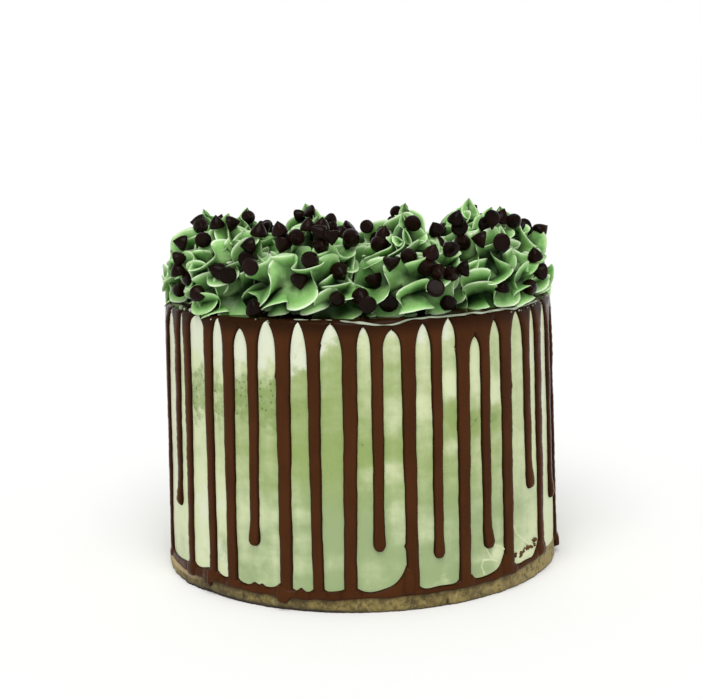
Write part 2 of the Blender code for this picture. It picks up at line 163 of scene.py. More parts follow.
def make_drum(name, rings, top, bottom, finish, amounts):
    """A piece from rings of points, top to bottom, closed to the upright axis at both ends."""
    points = np.concatenate([rings.reshape(-1, 3), [(0.0, 0.0, top), (0.0, 0.0, bottom)]])
    return make_piece(name, points, drum_faces(*rings.shape[:2]), finish, amounts)


def place(item, slot, *nodes):
    """The piece rides on the cake's one body, and stands for the plain solids it covers."""
    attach(item, "root")
    if nodes:
        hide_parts(*nodes)


# %% [markdown]
# ## Unevenness by hand
#
# Nothing that a hand spreads or pours is even. A sum of a few sine waves is the simplest
# unevenness to control: whole waves round the cake leave no seam at the back, and a seeded
# draw gives the same cake on each run. Soft steps and bumps shape what is meant to change.

# %% Unevenness, soft steps and bumps
def unevenness(azimuth, height, seed, waves_round, waves_up, count=14):
    """Between about -1 and 1, with up to so many waves round and so many per 100 mm up."""
    draw = random.Random(seed)
    total = np.zeros(np.broadcast(azimuth, height).shape)
    for _ in range(count):
        around = draw.randint(-waves_round, waves_round)
        upward = draw.uniform(-waves_up, waves_up) * 2.0 * math.pi / (100.0 * MM)
        total = total + np.sin(around * azimuth + upward * height + draw.uniform(0.0, 6.28))
    return total / math.sqrt(count)


def soft_step(value, low, high):
    """0 below low, 1 above high and a soft rise between."""
    share = np.clip((value - low) / (high - low), 0.0, 1.0)
    return share * share * (3.0 - 2.0 * share)


def soft_span(value, low, full, fade, high):
    """1 between full and fade, and a soft fall to 0 on either side."""
    return soft_step(value, low, full) * (1.0 - soft_step(value, fade, high))


def bump(distance, reach, power=2):
    """1 at no distance and nearly 0 past twice the reach; a high power squares the bump."""
    return np.exp(-np.abs(distance / reach) ** power)


def along(azimuth, spots):
    """Values joined by straight lines, from a list of azimuths in degrees and values."""
    return np.interp(degrees_from(azimuth), *zip(*spots))


print("unevenness at the front:", round(float(unevenness(0.0, 0.05, 1, 9, 3)), 2))

# %% [markdown]
# ## Building finishes from nodes
#
# Each finish is a Principled shader whose colour, roughness and bump come from procedural
# nodes. The same few moves return in all of them, so they are small functions: a noise on
# the object's own coordinates, a soft threshold, coats of colour, and a bump.

# %% Helpers for finishes
def paint(red, green, blue):
    """A colour given as 0 to 255 on screen, as the linear colour that nodes use."""
    shares = [channel / 255.0 for channel in (red, green, blue)]
    return tuple(share / 12.92 if share < 0.04045 else ((share + 0.055) / 1.055) ** 2.4
                 for share in shares) + (1.0,)


def feed(node, sockets):
    """Give each socket a plain value, or a link from another node's output."""
    for key, value in sockets.items():
        if isinstance(value, bpy.types.NodeSocket):
            node.id_data.links.new(value, node.inputs[key])
        else:
            node.inputs[key].default_value = value


def add_node(tree, kind, output, sockets, **settings):
    """Add a node, set and feed it, and give back the output that is used next."""
    node = tree.nodes.new(kind)
    for key, value in settings.items():
        setattr(node, key, value)
    feed(node, sockets)
    return node.outputs[output]


class Finish:
    """A Principled material, built up by adding nodes."""

    def __init__(self, name, roughness):
        self.material = bpy.data.materials.new(name)
        self.material.use_nodes = True
        self.tree = self.material.node_tree
        self.shader = self.tree.nodes["Principled BSDF"]
        feed(self.shader, {"Roughness": roughness})

    def where(self, squeeze=1.0):
        """The piece's own coordinates; a large squeeze makes a pattern short up and down."""
        place = add_node(self.tree, "ShaderNodeTexCoord", "Object", {})
        return add_node(self.tree, "ShaderNodeMapping", "Vector",
                        {"Vector": place, "Scale": (1.0, 1.0, squeeze)})

    def noise(self, grain, detail=3.0, rough=0.5, squeeze=1.0):
        """Cloudy noise whose patches are about the given size in metres."""
        return add_node(self.tree, "ShaderNodeTexNoise", "Fac",
                        {"Vector": self.where(squeeze), "Scale": 0.5 / grain, "Detail": detail,
                         "Roughness": rough})

    def amount(self, name):
        """A number that was stored on the mesh, point by point."""
        return add_node(self.tree, "ShaderNodeAttribute", "Fac", {}, attribute_name=name)

    def threshold(self, value, low, high, top=1.0):
        """A soft step from 0 to top as the value goes from low to high."""
        return add_node(self.tree, "ShaderNodeMapRange", "Result",
                        {"Value": value, "From Min": low, "From Max": high, "To Max": top},
                        interpolation_type="SMOOTHSTEP")

    def combine(self, operation, one, other):
        """Arithmetic on two values, each a node's output or a plain number."""
        return add_node(self.tree, "ShaderNodeMath", "Value", {0: one, 1: other},
                        operation=operation)

    def roughen(self, name, *noises):
        """A stored amount, moved up and down by each noise as far as its strength says."""
        value = self.amount(name)
        for fluctuation, strength in noises:
            swing = self.combine("SUBTRACT", fluctuation, 0.5)
            value = self.combine("ADD", value, self.combine("MULTIPLY", swing, strength))
        return value

    def coats(self, colour, *coats):
        """A colour under coats of other colours, each as strong as its share."""
        for share, coat in coats:
            colour = add_node(self.tree, "ShaderNodeMix", 2, {"Factor": share, 6: colour, 7: coat},
                              data_type="RGBA")
        return colour

    def complete(self, colour, height, depth, others=None):
        """Colour, and relief of a depth in metres that is too small to be worth faces."""
        normal = add_node(self.tree, "ShaderNodeBump", "Normal",
                          {"Height": height, "Strength": 1.0, "Distance": depth})
        feed(self.shader, {"Base Color": colour, "Normal": normal, **(others or {})})
        return self.material


print("white on screen is", [round(channel, 2) for channel in paint(255, 255, 255)])

# %% [markdown]
# ## The finish of the frosted side
#
# The buttercream was coloured in several greens and scraped round, so pale, mid and deep
# green lie in long smears, with faint upright streaks and small pits where the scraper
# skipped; the pits get painted shade. White buttercream shows in a ragged band under the rim.
# Where each colour lies is stored on the mesh, and noise frays its edges. The frosting is also
# painted paler towards both sides of the view and along the knife's ridges: painted light.

# %% Frosting finish
PALE_GREEN = paint(204, 213, 169)
MID_GREEN = paint(138, 158, 89)
COOL_GREEN = paint(143, 162, 111)
DEEP_GREEN = paint(120, 144, 70)
WHITE_CREAM = paint(212, 218, 192)
WARM_CREAM = paint(208, 208, 180)
PIT_SHADE_GREEN = paint(88, 108, 56)
PIT_SPACING = 2.6 * MM


def frosting_finish():
    finish = Finish("mint_frosting", 0.5)
    smears = finish.noise(60.0 * MM, 4.0, 0.55, squeeze=4.0)
    streaks = finish.noise(4.0 * MM, squeeze=0.08)
    grain = finish.noise(1.6 * MM, 4.0, 0.6)
    mottle = finish.noise(9.0 * MM, 4.0, 0.65)
    specks = finish.noise(2.6 * MM, 4.0, 0.7)
    paleness = finish.roughen("pale", (smears, 2.2), (streaks, 0.65), (specks, 0.5))
    depth = finish.roughen("deep", (mottle, 1.0), (specks, 1.9))
    whiteness = finish.roughen("white", (mottle, 0.9), (specks, 1.5))
    creaminess = finish.roughen("cream", (mottle, 0.6))
    cells = add_node(finish.tree, "ShaderNodeTexVoronoi", "Distance",
                     {"Vector": finish.where(), "Scale": 1.0 / PIT_SPACING})
    # Small pits are dents in the bump, darkened with painted shade where the green is deep.
    pits = finish.combine("SUBTRACT", 1.0, finish.threshold(cells, 0.10, 0.34))
    pits = finish.combine("MULTIPLY", pits, finish.threshold(depth, 0.35, 0.8, 0.8))
    colour = finish.coats(MID_GREEN,
                          (finish.amount("cool"), COOL_GREEN),
                          (finish.threshold(paleness, 0.0, 1.0), PALE_GREEN),
                          (finish.threshold(depth, 0.25, 1.1, 0.85), DEEP_GREEN),
                          (pits, PIT_SHADE_GREEN),
                          (finish.threshold(whiteness, 0.28, 0.95), WHITE_CREAM),
                          (finish.threshold(creaminess, 0.3, 0.75), WARM_CREAM))
    relief = finish.combine("ADD", finish.combine("MULTIPLY", streaks, 0.7), grain)
    return finish.complete(colour, finish.combine("SUBTRACT", relief, pits), 0.10 * MM,
                           {"Roughness": finish.threshold(grain, -0.6, 1.6, 0.9)})


frosting = frosting_finish()
print("frosting finish has", len(frosting.node_tree.nodes), "nodes")

# %% [markdown]
# ## Where the frosting changes colour
#
# The white band has a ragged lower edge that dips at the left of the front and fades out
# towards the right. It is a short list of azimuths and heights, joined by straight lines,
# and it closes on itself round the back. Other patches are picked out one by one: azimuth,
# height, half width in degrees, half height in millimetres, and strength.

# %% Colour amounts on the wall
WHITE_EDGE = [(-180, 134), (-120, 128), (-90, 131), (-66, 127), (-58, 123), (-50, 121),
              (-42, 116), (-34, 116), (-26, 119), (-16, 117), (-9, 127), (-4, 134), (1, 132),
              (8, 138), (13, 133), (17, 130), (24, 136), (32, 139), (40, 144), (60, 142),
              (100, 133), (140, 137), (180, 134)]
# Paleness round the cake; its rise towards both sides of the view is painted light, over real pale smears.
PALENESS_AND_SIDE_LIGHT = [(-180, 0.5), (-120, 0.6), (-70, 0.85), (-51, 0.80), (-42, 0.62), (-34, 0.44),
            (-25, 0.40), (-16, 0.20), (-7, 0.05), (1, 0.12), (9, 0.33), (17, 0.30),
            (25, 0.32), (40, 0.36), (49, 0.48), (58, 0.85), (66, 1.3), (100, 0.7), (180, 0.5)]
DEEP_PATCHES = [(-51, 104, 8, 17, 0.85), (-42, 103, 6, 18, 0.7), (-33.5, 106, 5, 15, 1.0),
                (-25, 105, 6, 17, 1.0), (-16, 103, 5, 14, 0.5), (-5, 90, 6, 32, 0.40),
                (31.5, 92, 3, 5, 0.6), (39, 92, 3, 4, 0.75), (24, 93, 3, 5, 0.5),
                (5, 88, 3, 8, 0.35), (118, 96, 12, 14, 0.7), (160, 70, 16, 14, 0.6),
                (-150, 104, 14, 12, 0.8), (-112, 88, 9, 10, 0.6)]
PALE_PATCHES = [(-50, 92, 6, 5, 0.5), (-50, 40, 7, 18, 0.7), (-42, 44, 5, 12, 0.55),
                (-50, 15, 5, 8, 0.5), (-42, 15, 4, 6, 0.3), (-30, 46, 7, 7, 0.4),
                (-16, 26, 6, 8, 0.35), (8, 71, 4, 5, 0.5), (9, 100, 3, 10, 0.3),
                (2, 70, 3, 4, 0.35), (17, 42, 3, 8, 0.3), (25, 111, 3.5, 8, 0.7),
                (24, 80, 3, 4, 0.3), (39, 106, 4, 8, 0.6), (33, 118, 3, 10, 0.4),
                (39.3, 22, 2.2, 3.5, 0.6), (-34, 36, 5, 12, 0.3), (-25, 32, 5, 12, 0.25),
                (-16, 49, 3, 6, 0.3), (-16, 34, 4, 9, 0.45), (-7, 26, 4, 6, 0.3),
                (1, 126, 3, 18, 0.3), (9, 48, 3, 12, 0.3), (17, 100, 3, 40, 0.1),
                (140, 40, 30, 24, 0.6), (-130, 40, 24, 24, 0.6), (180, 110, 20, 12, 0.6)]
GREEN_PATCHES = [(25, 16, 4, 6, 0.6), (32, 15, 5, 5, 0.6), (-33, 15, 4, 5, 0.4),
                 (9, 104, 4, 8, 0.3), (9, 24, 4, 9, 0.4), (18, 20, 5, 11, 0.4),
                 (25, 98, 3, 8, 0.5), (-25, 62, 4, 6, 0.3), (32.5, 30, 4, 14, 0.2),
                 (32, 92, 3, 10, 0.3)]
WHITE_PATCHES = [(-51, 44, 5, 14, 0.75), (-43, 50, 4, 7, 0.45), (-42, 25, 4, 9, 0.5),
                 (-50, 24, 5, 11, 0.5), (58, 112, 4, 40, 0.5), (66.5, 108, 4, 40, 0.8)]
CREAM_PATCHES = [(64, 70, 6.0, 80, 0.5), (-61, 60, 2.5, 60, 0.35), (-68, 85, 4, 90, 0.6),
                 (-75, 85, 4, 90, 0.8)]
DAB = [(52.0, 14.6, 4.8, 3.6, 0.9)]


def patches(azimuth, height, spots):
    """Soft oval patches with ragged edges, the strongest winning where they overlap."""
    total = np.zeros(np.broadcast(azimuth, height).shape)
    ragged = 0.16 * unevenness(azimuth, height, 23, 110, 14)
    for centre, level, half_wide, half_high, strength in spots:
        aside = degrees_from(azimuth, centre) / half_wide
        far = np.hypot(aside, (height / MM - level) / half_high) + ragged
        total = np.maximum(total, strength * (1.0 - soft_step(far, 0.3, 1.5)))
    return total


def colour_amounts(azimuth, height):
    """How white, mottled, cool, pale and creamy the frosting is at each point; the paleness also holds
    painted light.
    """
    over = height / MM - along(azimuth, WHITE_EDGE) + 3.0 * unevenness(azimuth, height, 21, 60, 6)
    # The paleness by azimuth holds painted light towards both sides of the view.
    pale = along(azimuth, PALENESS_AND_SIDE_LIGHT) + 0.35 * soft_step(height / MM, 104.0, 132.0)
    return {"white": np.maximum(soft_step(over, -5.0, 9.0), patches(azimuth, height, WHITE_PATCHES)),
            "deep": patches(azimuth, height, DEEP_PATCHES),
            "cool": 1.0 - soft_step(height / MM, 40.0, 76.0),
            "pale": (pale + patches(azimuth, height, PALE_PATCHES + DAB)
                     - patches(azimuth, height, GREEN_PATCHES)),
            "cream": patches(azimuth, height, CREAM_PATCHES)}


print("patches of colour:", len(DEEP_PATCHES) + len(PALE_PATCHES) + len(CREAM_PATCHES))

# %% [markdown]
# ## The chocolate's lower edge
#
# The chocolate that reached the foot ends in an uneven line, lowest at the left and rising
# towards the right, with a few drops that hang from it. At one place at the right none
# reached the foot. The wall and the base layer both stop behind this line, so it comes first.

# %% Lower edge of the chocolate
POOL_LOWS = [(-180, 5.5), (-120, 5.2), (-94, 4.4), (-84, 4.8), (-58, 5.3), (-51, 6.3),
             (-39, 6.9), (-24, 6.5), (-15, 6.0), (-9, 6.7), (1, 7.6), (6, 7.1), (13, 7.6),
             (21, 7.9), (28, 7.4), (45, 8.0), (52, 9.0), (61, 9.8), (66, 10.4), (76, 9.0),
             (84, 6.5), (130, 6.0), (180, 5.5)]
HANGING_DROPS = [(-92.5, 3.4, 3.2), (-48.4, 3.0, 3.0), (-21.9, 3.1, 3.0), (80.5, 4.6, 2.8),
                 (131.0, 2.8, 3.0), (-118.0, 3.0, 2.6)]


def pool_low(azimuth):
    """Height of the chocolate's lower edge round the foot, in metres."""
    hanging = sum(drop * bump(arc(azimuth, centre), reach, 2.8)
                  for centre, drop, reach in HANGING_DROPS)
    wave = 0.3 * unevenness(azimuth, 0.0, 31, 60, 0)
    return (along(azimuth, POOL_LOWS) + wave - hanging) * MM


def pool_gap(azimuth):
    """1 where no chocolate reached the foot, at the right of the front, and 0 elsewhere."""
    return soft_span(degrees_from(azimuth), 63.5, 65.5, 77.0, 78.5)


print("lower edge at the front:", round(float(pool_low(0.0)) / MM, 1), "mm up")

# %% [markdown]
# ## Marks of the palette knife
#
# At the lower right the frosting was patched by knife: thin raised ridges run in curves
# where the blade lifted, and a dab of warm cream stands proud. A ridge follows a few points
# joined by straight lines, and its height falls off with the distance from that line.

# %% Relief of the wall
KNIFE_RIDGES = [
    ([(37.8, 26.5), (40.0, 24.2), (42.2, 22.0)], 0.60),
    ([(35.0, 26.0), (36.6, 20.5), (39.2, 16.4)], 0.50),
    ([(34.4, 12.0), (33.4, 16.5), (34.1, 19.5), (36.4, 19.0), (39.2, 16.8)], 0.60),
    ([(45.9, 32.5), (47.7, 27.2), (51.6, 21.2), (54.5, 18.6), (57.4, 17.2)], 0.60),
    ([(20.0, 15.5), (22.5, 16.4), (24.0, 14.6), (22.0, 12.8)], 0.20),
]
RIDGE_HALF = 0.42


def distance_to_line(azimuth, height, line):
    """Distance in mm from each point of the wall to a line of (degrees, mm) points."""
    nearest = np.full(azimuth.shape, 1000.0)
    for (first, low), (second, high) in zip(line[:-1], line[1:]):
        across, upward = arc(azimuth, first), height / MM - low
        dx = math.radians(second - first) * FOOT_RADIUS / MM
        dz = high - low
        share = np.clip((across * dx + upward * dz) / (dx * dx + dz * dz), 0.0, 1.0)
        nearest = np.minimum(nearest, np.hypot(across - share * dx, upward - share * dz))
    return nearest


def ridges(azimuth, height):
    """Height of the thin ridges that the knife left, in mm."""
    return np.max([rise * bump(distance_to_line(azimuth, height, line), RIDGE_HALF)
                   for line, rise in KNIFE_RIDGES], 0)


def wall_relief(azimuth, height):
    """How far the frosting stands off the plain drum, in metres."""
    relief = 0.16 * unevenness(azimuth, height, 5, 16, 2) + 0.05 * unevenness(azimuth, height, 6, 40, 14)
    crumbly = 1.0 + 0.25 * unevenness(azimuth, height, 8, 180, 50)
    relief += ridges(azimuth, height) + 0.7 * patches(azimuth, height, DAB) * crumbly
    tucked = 1.0 - soft_step(height - pool_low(azimuth), 0.8 * MM, 1.8 * MM)
    return (relief - 1.4 * tucked * (1.0 - pool_gap(azimuth))) * MM


print("ridges of the knife:", len(KNIFE_RIDGES))

# %% [markdown]
# ## The frosted wall
#
# The wall is one grid: rows from the rounded top edge down, columns round the drum. Rows and
# columns crowd together where the knife marks are, so that a ridge half a millimetre wide
# still has faces of its own. Two fans of triangles close the top and the bottom.

# %% Frosted wall
def spaced(low, high, step, fine_low, fine_high, fine_step):
    """Numbers from low to high, closer together in one stretch."""
    return np.concatenate([np.arange(low, fine_low, step), np.arange(fine_low, fine_high, fine_step),
                           np.arange(fine_high, high, step)])


def build_wall():
    turns = np.radians(spaced(-180.0, 180.0, 0.9, 31.0, 58.0, 0.2))
    heights = spaced(7.0, 142.6, 1.7, 10.0, 33.0, 0.42)[::-1] * MM
    azimuth, height = np.meshgrid(turns, heights)
    side = wall_point(azimuth, wall_relief(azimuth, height), height)
    edge_azimuth, angle = np.meshgrid(turns, np.linspace(0.0, QUARTER_TURN, 6))
    edge_height = WALL_TOP - EDGE_ROUND + EDGE_ROUND * np.cos(angle)
    edge = wall_point(edge_azimuth, EDGE_ROUND * (np.sin(angle) - 1.0), edge_height)
    azimuth = np.concatenate([edge_azimuth, azimuth])
    height = np.concatenate([edge_height, height])
    amounts = colour_amounts(azimuth, height)
    # The knife's ridges are painted paler: a painted highlight along them.
    amounts["pale"] += 1.1 * ridges(azimuth, height)
    return make_drum("frosted_wall", np.concatenate([edge, side]), WALL_TOP, heights[-1], frosting, amounts)


place(build_wall(), "buttercream", "cake_body")

# %% [markdown]
# ## The base layer
#
# A khaki layer shows as a strip under the chocolate, fluted up and down and a little torn.
# It is turned like the wall, but its side is pushed in and out by narrow upright flutes. Its
# top edge rises from left to right, always hidden behind the chocolate's lower edge. Painted
# light makes it lighter towards both sides of the view, and painted shade darkens it along
# the floor and at the left of the front.

# %% Base layer
STRIP_STEPS = 1200
STRIP_ROWS = 9
STRIP_TOP = 6.0 * MM
CRACKS = [(22.6, 2.0, 0.5, 2.6, 1.0), (-35.0, 3.4, 0.4, 1.6, 0.8)]
PAINTED_SIDE_LIGHT = [(-90, 0.5), (-70, 0.4), (-50, 0.0), (18, 0.0), (45, 0.35), (60, 0.6), (90, 0.6)]


def strip_finish():
    finish = Finish("khaki_layer", 0.8)
    flutes = finish.noise(2.6 * MM, 4.0, 0.6, squeeze=0.5)
    crumb = finish.noise(1.3 * MM, 3.0, 0.6)
    cloud = finish.noise(14.0 * MM)
    grain = finish.noise(0.8 * MM, 3.0, 0.6)
    rest = finish.combine("SUBTRACT", 1.0, crumb)
    colour = finish.coats(paint(74, 61, 25),
                          (finish.threshold(flutes, 0.38, 0.62), paint(124, 109, 56)),
                          (finish.threshold(cloud, 0.52, 0.68, 0.5), paint(140, 124, 70)),
                          # Lighter towards both sides of the view: painted light.
                          (finish.amount("light"), paint(170, 152, 98)),
                          (finish.threshold(crumb, 0.50, 0.62, 0.6), paint(64, 54, 22)),
                          (finish.threshold(rest, 0.54, 0.66, 0.45), paint(160, 146, 98)),
                          (finish.amount("tan"), paint(178, 158, 116)),
                          (finish.amount("smear"), paint(70, 46, 22)),
                          # Painted shadow along the floor crease, painted shade at the left of the front,
                          # and darker cracks.
                          (finish.amount("dark"), paint(44, 34, 20)))
    return finish.complete(colour, finish.combine("ADD", crumb, grain), 0.3 * MM)


def build_strip():
    turns = np.linspace(-math.pi, math.pi, STRIP_STEPS, endpoint=False)
    azimuth, up = np.meshgrid(turns, np.linspace(1.0, 0.0, STRIP_ROWS))
    degrees = degrees_from(azimuth)
    height = up * np.maximum(pool_low(turns) + 1.3 * MM, STRIP_TOP)
    above_edge = (height - pool_low(azimuth)) / MM
    flutes = 0.14 * unevenness(azimuth, height, 41, 260, 2, 24)
    lumps = 0.20 * unevenness(azimuth, height, 42, 70, 9, 16)
    front_left = soft_span(degrees, -64.0, -52.0, -12.0, 2.0)
    ledge = soft_span(degrees, -130.0, -95.0, -60.0, -46.0)
    shaded = 0.5 * soft_span(degrees, -72.0, -60.0, -42.0, -30.0) * (1.0 - 0.6 * up)
    crease = 1.0 - soft_step(height / MM, 0.4 + 0.6 * front_left, 1.2 + 1.0 * front_left)
    crack = patches(azimuth, height, CRACKS)
    gap = pool_gap(azimuth)
    relief = np.minimum(-0.1 + flutes + lumps - 0.6 * crease - 0.7 * crack, 0.35)
    rings = wall_point(azimuth, (relief + 0.45 * gap + 2.0 * ledge) * MM, height)
    # The dark amount paints the shadow at the floor and the shade at the left of the front, and darkens the
    # cracks; the light amount is painted light at the sides.
    amounts = {"dark": np.clip(0.95 * crease + crack + shaded, 0.0, 1.0),
               "tan": 0.9 * ledge * soft_step(above_edge, -1.0, -0.4),
               "light": along(azimuth, PAINTED_SIDE_LIGHT),
               "smear": 0.75 * soft_step(above_edge, -1.5, 0.2) * (1.0 - gap) * (1.0 - ledge)}
    return make_drum("fluted_base_layer", rings, STRIP_TOP, 0.0, strip_finish(), amounts)


place(build_strip(), "base", "base_layer")

# %% [markdown]
# ## The chocolate's finish
#
# Set ganache is a dark red-brown with a soft sheen. Painted shade darkens it along its
# edges, on the rim under the swirls and in the creases of the pool. It is a smooth
# dielectric with middling roughness, clouded by a little noise, and faint bumps break up the
# highlights that run down every drip.

# %% Chocolate finish
SHADE_BROWN = paint(38, 19, 7)


def chocolate_finish(name, dark, light, roughness, gloss):
    finish = Finish(name, roughness)
    cloud = finish.noise(7.0 * MM, 4.0, 0.6, squeeze=0.5)
    grain = finish.noise(1.2 * MM)
    # The stored shade amount paints shade along the chocolate's edges, on the rim under the swirls and in
    # the pool's creases.
    colour = finish.coats(dark, (finish.threshold(cloud, 0.3, 0.7), light),
                          (finish.amount("thin"), SHADE_BROWN))
    dullness = finish.threshold(grain, 0.5 - 1.2 * roughness, 2.6 - 1.6 * roughness)
    relief = finish.combine("ADD", cloud, finish.combine("MULTIPLY", grain, 0.3))
    return finish.complete(colour, relief, 0.25 * MM,
                           {"Roughness": dullness, "Specular IOR Level": gloss})


ganache = chocolate_finish("ganache", paint(63, 34, 14), paint(72, 40, 18), 0.42, 0.04)
print("ganache finish has", len(ganache.node_tree.nodes), "nodes")

# %% [markdown]
# ## Drips and the windows between them
#
# Each drip has an azimuth, a width and an end: a free end at some height, or none where it
# runs down to the foot. Between two drips the frosting shows through a tall window with an
# arched top, of a top height and an arch height. The front ones are listed in order, and the
# ones behind follow the seeded rule that the solid model uses.

# %% Drips and windows
FRONT_DRIPS = [
    (-92.0, 6.4, None), (-77.5, 6.4, None), (-64.2, 6.2, 40), (-57.1, 6.4, None),
    (-46.1, 6.2, None), (-38.1, 7.2, None), (-29.9, 6.0, 31), (-20.7, 7.6, None),
    (-12.1, 6.3, None), (-2.6, 7.2, None), (4.6, 5.9, 31), (13.1, 7.0, None),
    (20.9, 5.7, 25), (28.8, 7.5, None), (36.3, 6.1, 25), (44.3, 8.0, None),
    (54.0, 6.2, 49), (61.7, 7.0, None), (71.5, 6.0, 36), (80.5, 6.2, None),
    (94.0, 6.0, 73),
]
FRONT_WINDOWS = [
    (121.0, 16), (144.0, 14), (144.2, 20), (144.2, 7), (144.0, 14), (140.0, 11), (144.2, 15),
    (144.0, 18), (143.2, 15), (141.5, 10), (139.6, 9), (141.8, 14), (143.3, 11), (133.3, 8),
    (140.0, 12), (142.6, 15), (142.2, 16), (143.3, 18), (139.0, 14), (141.0, 10),
]
BACK_DRIP_START = 103.0
BACK_DRIP_END = 258.5
BACK_DRIP_COUNT = 18
FREE_SHARE = 0.42


def all_drips():
    """Every drip in order round the cake, the listed ones first."""
    draw = random.Random(7)
    pitch = (BACK_DRIP_END - BACK_DRIP_START) / (BACK_DRIP_COUNT - 1)
    drips = list(FRONT_DRIPS)
    for i in range(BACK_DRIP_COUNT):
        azimuth = BACK_DRIP_START + pitch * i + draw.uniform(-1.0, 1.0)
        width = draw.uniform(5.8, 7.5)
        free = draw.uniform(20.0, 60.0) if draw.random() < FREE_SHARE else None
        drips.append((azimuth, width, free))
    return drips


DRIPS = all_drips()
window_draw = random.Random(17)
WINDOWS = FRONT_WINDOWS + [(window_draw.uniform(138.0, 143.6), window_draw.uniform(8.0, 16.0))
                           for _ in range(len(DRIPS) - len(FRONT_WINDOWS))]
print(len(DRIPS), "drips,", sum(1 for drip in DRIPS if drip[2] is not None), "with a free end")

# %% [markdown]
# ## How the chocolate lies on the cake
#
# The chocolate is a skin over the top, over the rounded edge and down the wall. So a place
# on it is an azimuth and a run: the distance travelled outwards over the edge and down. The
# skin is thick in the middle of a drip and rounds off to nothing at its edge, so its
# thickness only depends on how far away the nearest edge is.

# %% Path over the edge, and thickness
EDGE_RUN = EDGE_ROUND * QUARTER_TURN
EDGE_FOOT = WALL_TOP - EDGE_ROUND
SKIN_SINK = 0.35 * MM
CAP_THICKNESS = CAP_TOP - WALL_TOP
RIM_THICKNESS = 1.4 * MM
DRIP_THICKNESS = 1.9 * MM
LIP_WIDTH = 2.5 * MM
# Width of the painted shade along the chocolate's edges.
DARK_WIDTH = (0.1 * MM, 1.0 * MM)


def run_of_height(height):
    """The run that reaches a height on the wall or on the rounded edge."""
    above = np.clip((height - EDGE_FOOT) / EDGE_ROUND, 0.0, 1.0)
    return np.where(height < EDGE_FOOT, EDGE_RUN + EDGE_FOOT - height, EDGE_ROUND * np.arccos(above))


def height_of_run(run):
    """The other way round, for a run that has passed the rounded edge."""
    return EDGE_FOOT + EDGE_RUN - run


def skin_point(azimuth, run, thickness):
    """A point of the skin, the given thickness away from the cake under it."""
    turn = np.clip(run / EDGE_ROUND, 0.0, QUARTER_TURN)
    height = EDGE_FOOT + EDGE_ROUND * np.cos(turn) - np.maximum(run - EDGE_RUN, 0.0)
    radius = (wall_radius(np.minimum(height, EDGE_FOOT)) - EDGE_ROUND + np.minimum(run, 0.0)
              + (EDGE_ROUND + thickness) * np.sin(turn))
    height = height + thickness * np.cos(turn)
    return np.stack([radius * np.sin(azimuth), -radius * np.cos(azimuth), height], -1)


def lip(distance, width):
    """Rises from 0 at the edge of the chocolate to 1 at the width, like a drop's side."""
    share = np.clip(distance / width, 0.0, 1.0)
    return (1.0 - (1.0 - share) ** 2.4) ** (1.0 / 2.2)


def rim_thickness(run):
    """Thickness of the chocolate from the flat top to the outer side of the edge."""
    return CAP_THICKNESS + (RIM_THICKNESS - CAP_THICKNESS) * soft_step(run, -1.0 * MM, EDGE_RUN)


print("the edge takes", round(EDGE_RUN / MM, 1), "mm of run")

# %% [markdown]
# ## Edges of one drip
#
# Down the straight part, a drip's edge stands half its width from its middle, with a slow
# wobble and here and there a nib. Near the top it swings away along a quarter of an ellipse
# to the middle of the window, where it meets the next drip. Measuring the ellipse by its
# angle puts the rows close together at the top of the arch, where the outline turns fastest.

# %% Outline of a drip
POINTED = 1.35
NIBS = [(15, 1, 106.0), (8, 1, 132.0), (7, -1, 118.0), (13, -1, 129.0), (11, -1, 33.0)]
LEANS = {6: 1.1, 7: 1.1, 9: 1.5, 10: 1.5, 11: 0.4, 12: 0.7, 13: 1.7, 14: 1.5, 15: 0.5, 17: 2.0}
HOOKED_ENDS = (14, 16)


def half_width(number, side, height):
    """Half the width of a drip at a height, in metres, for its left (-1) or right (1) side."""
    width, free_end = DRIPS[number][1:]
    level = height / MM
    share = 1.06 - 0.14 * soft_step(140.0 - level, 0.0, 110.0)
    share = share + 0.035 * np.sin(level / 7.3 + 2.1 * number + side)
    share = share + 0.022 * np.sin(level / 3.1 + 3.7 * number)
    share = share + 0.022 * side * np.sin(level / 1.5 + 1.3 * number) * np.sin(level / 5.3 + number)
    if free_end is not None:
        share = share + 0.17 * bump(level - free_end - 4.0, 6.0)
    nibs = sum(0.9 * bump(level - nib_level, 1.1) for nib_drip, nib_side, nib_level in NIBS
               if (nib_drip, nib_side) == (number, side))
    return (0.5 * width * share + nibs) * MM


def middle(number, height):
    """Azimuth of a drip's middle line, which leans and sways a little on its way down."""
    azimuth, _, free_end = DRIPS[number]
    level = height / MM
    sway = 0.22 * np.sin(level / 31.0 + 1.9 * number) - 0.22 * math.sin(135.0 / 31.0 + 1.9 * number)
    if number in HOOKED_ENDS:
        sway = sway + 0.9 * bump(level - free_end, 7.0)
    sway = sway - LEANS.get(number, 0.0) * soft_step(135.0 - level, 0.0, 125.0)
    return math.radians(azimuth) + sway * MM / FOOT_RADIUS


def window(number):
    """Middle azimuth, half width, top run and arch height of the window right of a drip."""
    following = (number + 1) % len(DRIPS)
    top, arch = WINDOWS[number][0] * MM, WINDOWS[number][1] * MM
    foot = top - arch
    left = middle(number, foot) + half_width(number, 1, foot) / wall_radius(foot)
    right = middle(following, foot) - half_width(following, -1, foot) / wall_radius(foot)
    if following == 0:
        right += 2.0 * math.pi
    return 0.5 * (left + right), 0.5 * (right - left) * wall_radius(foot), run_of_height(top), arch


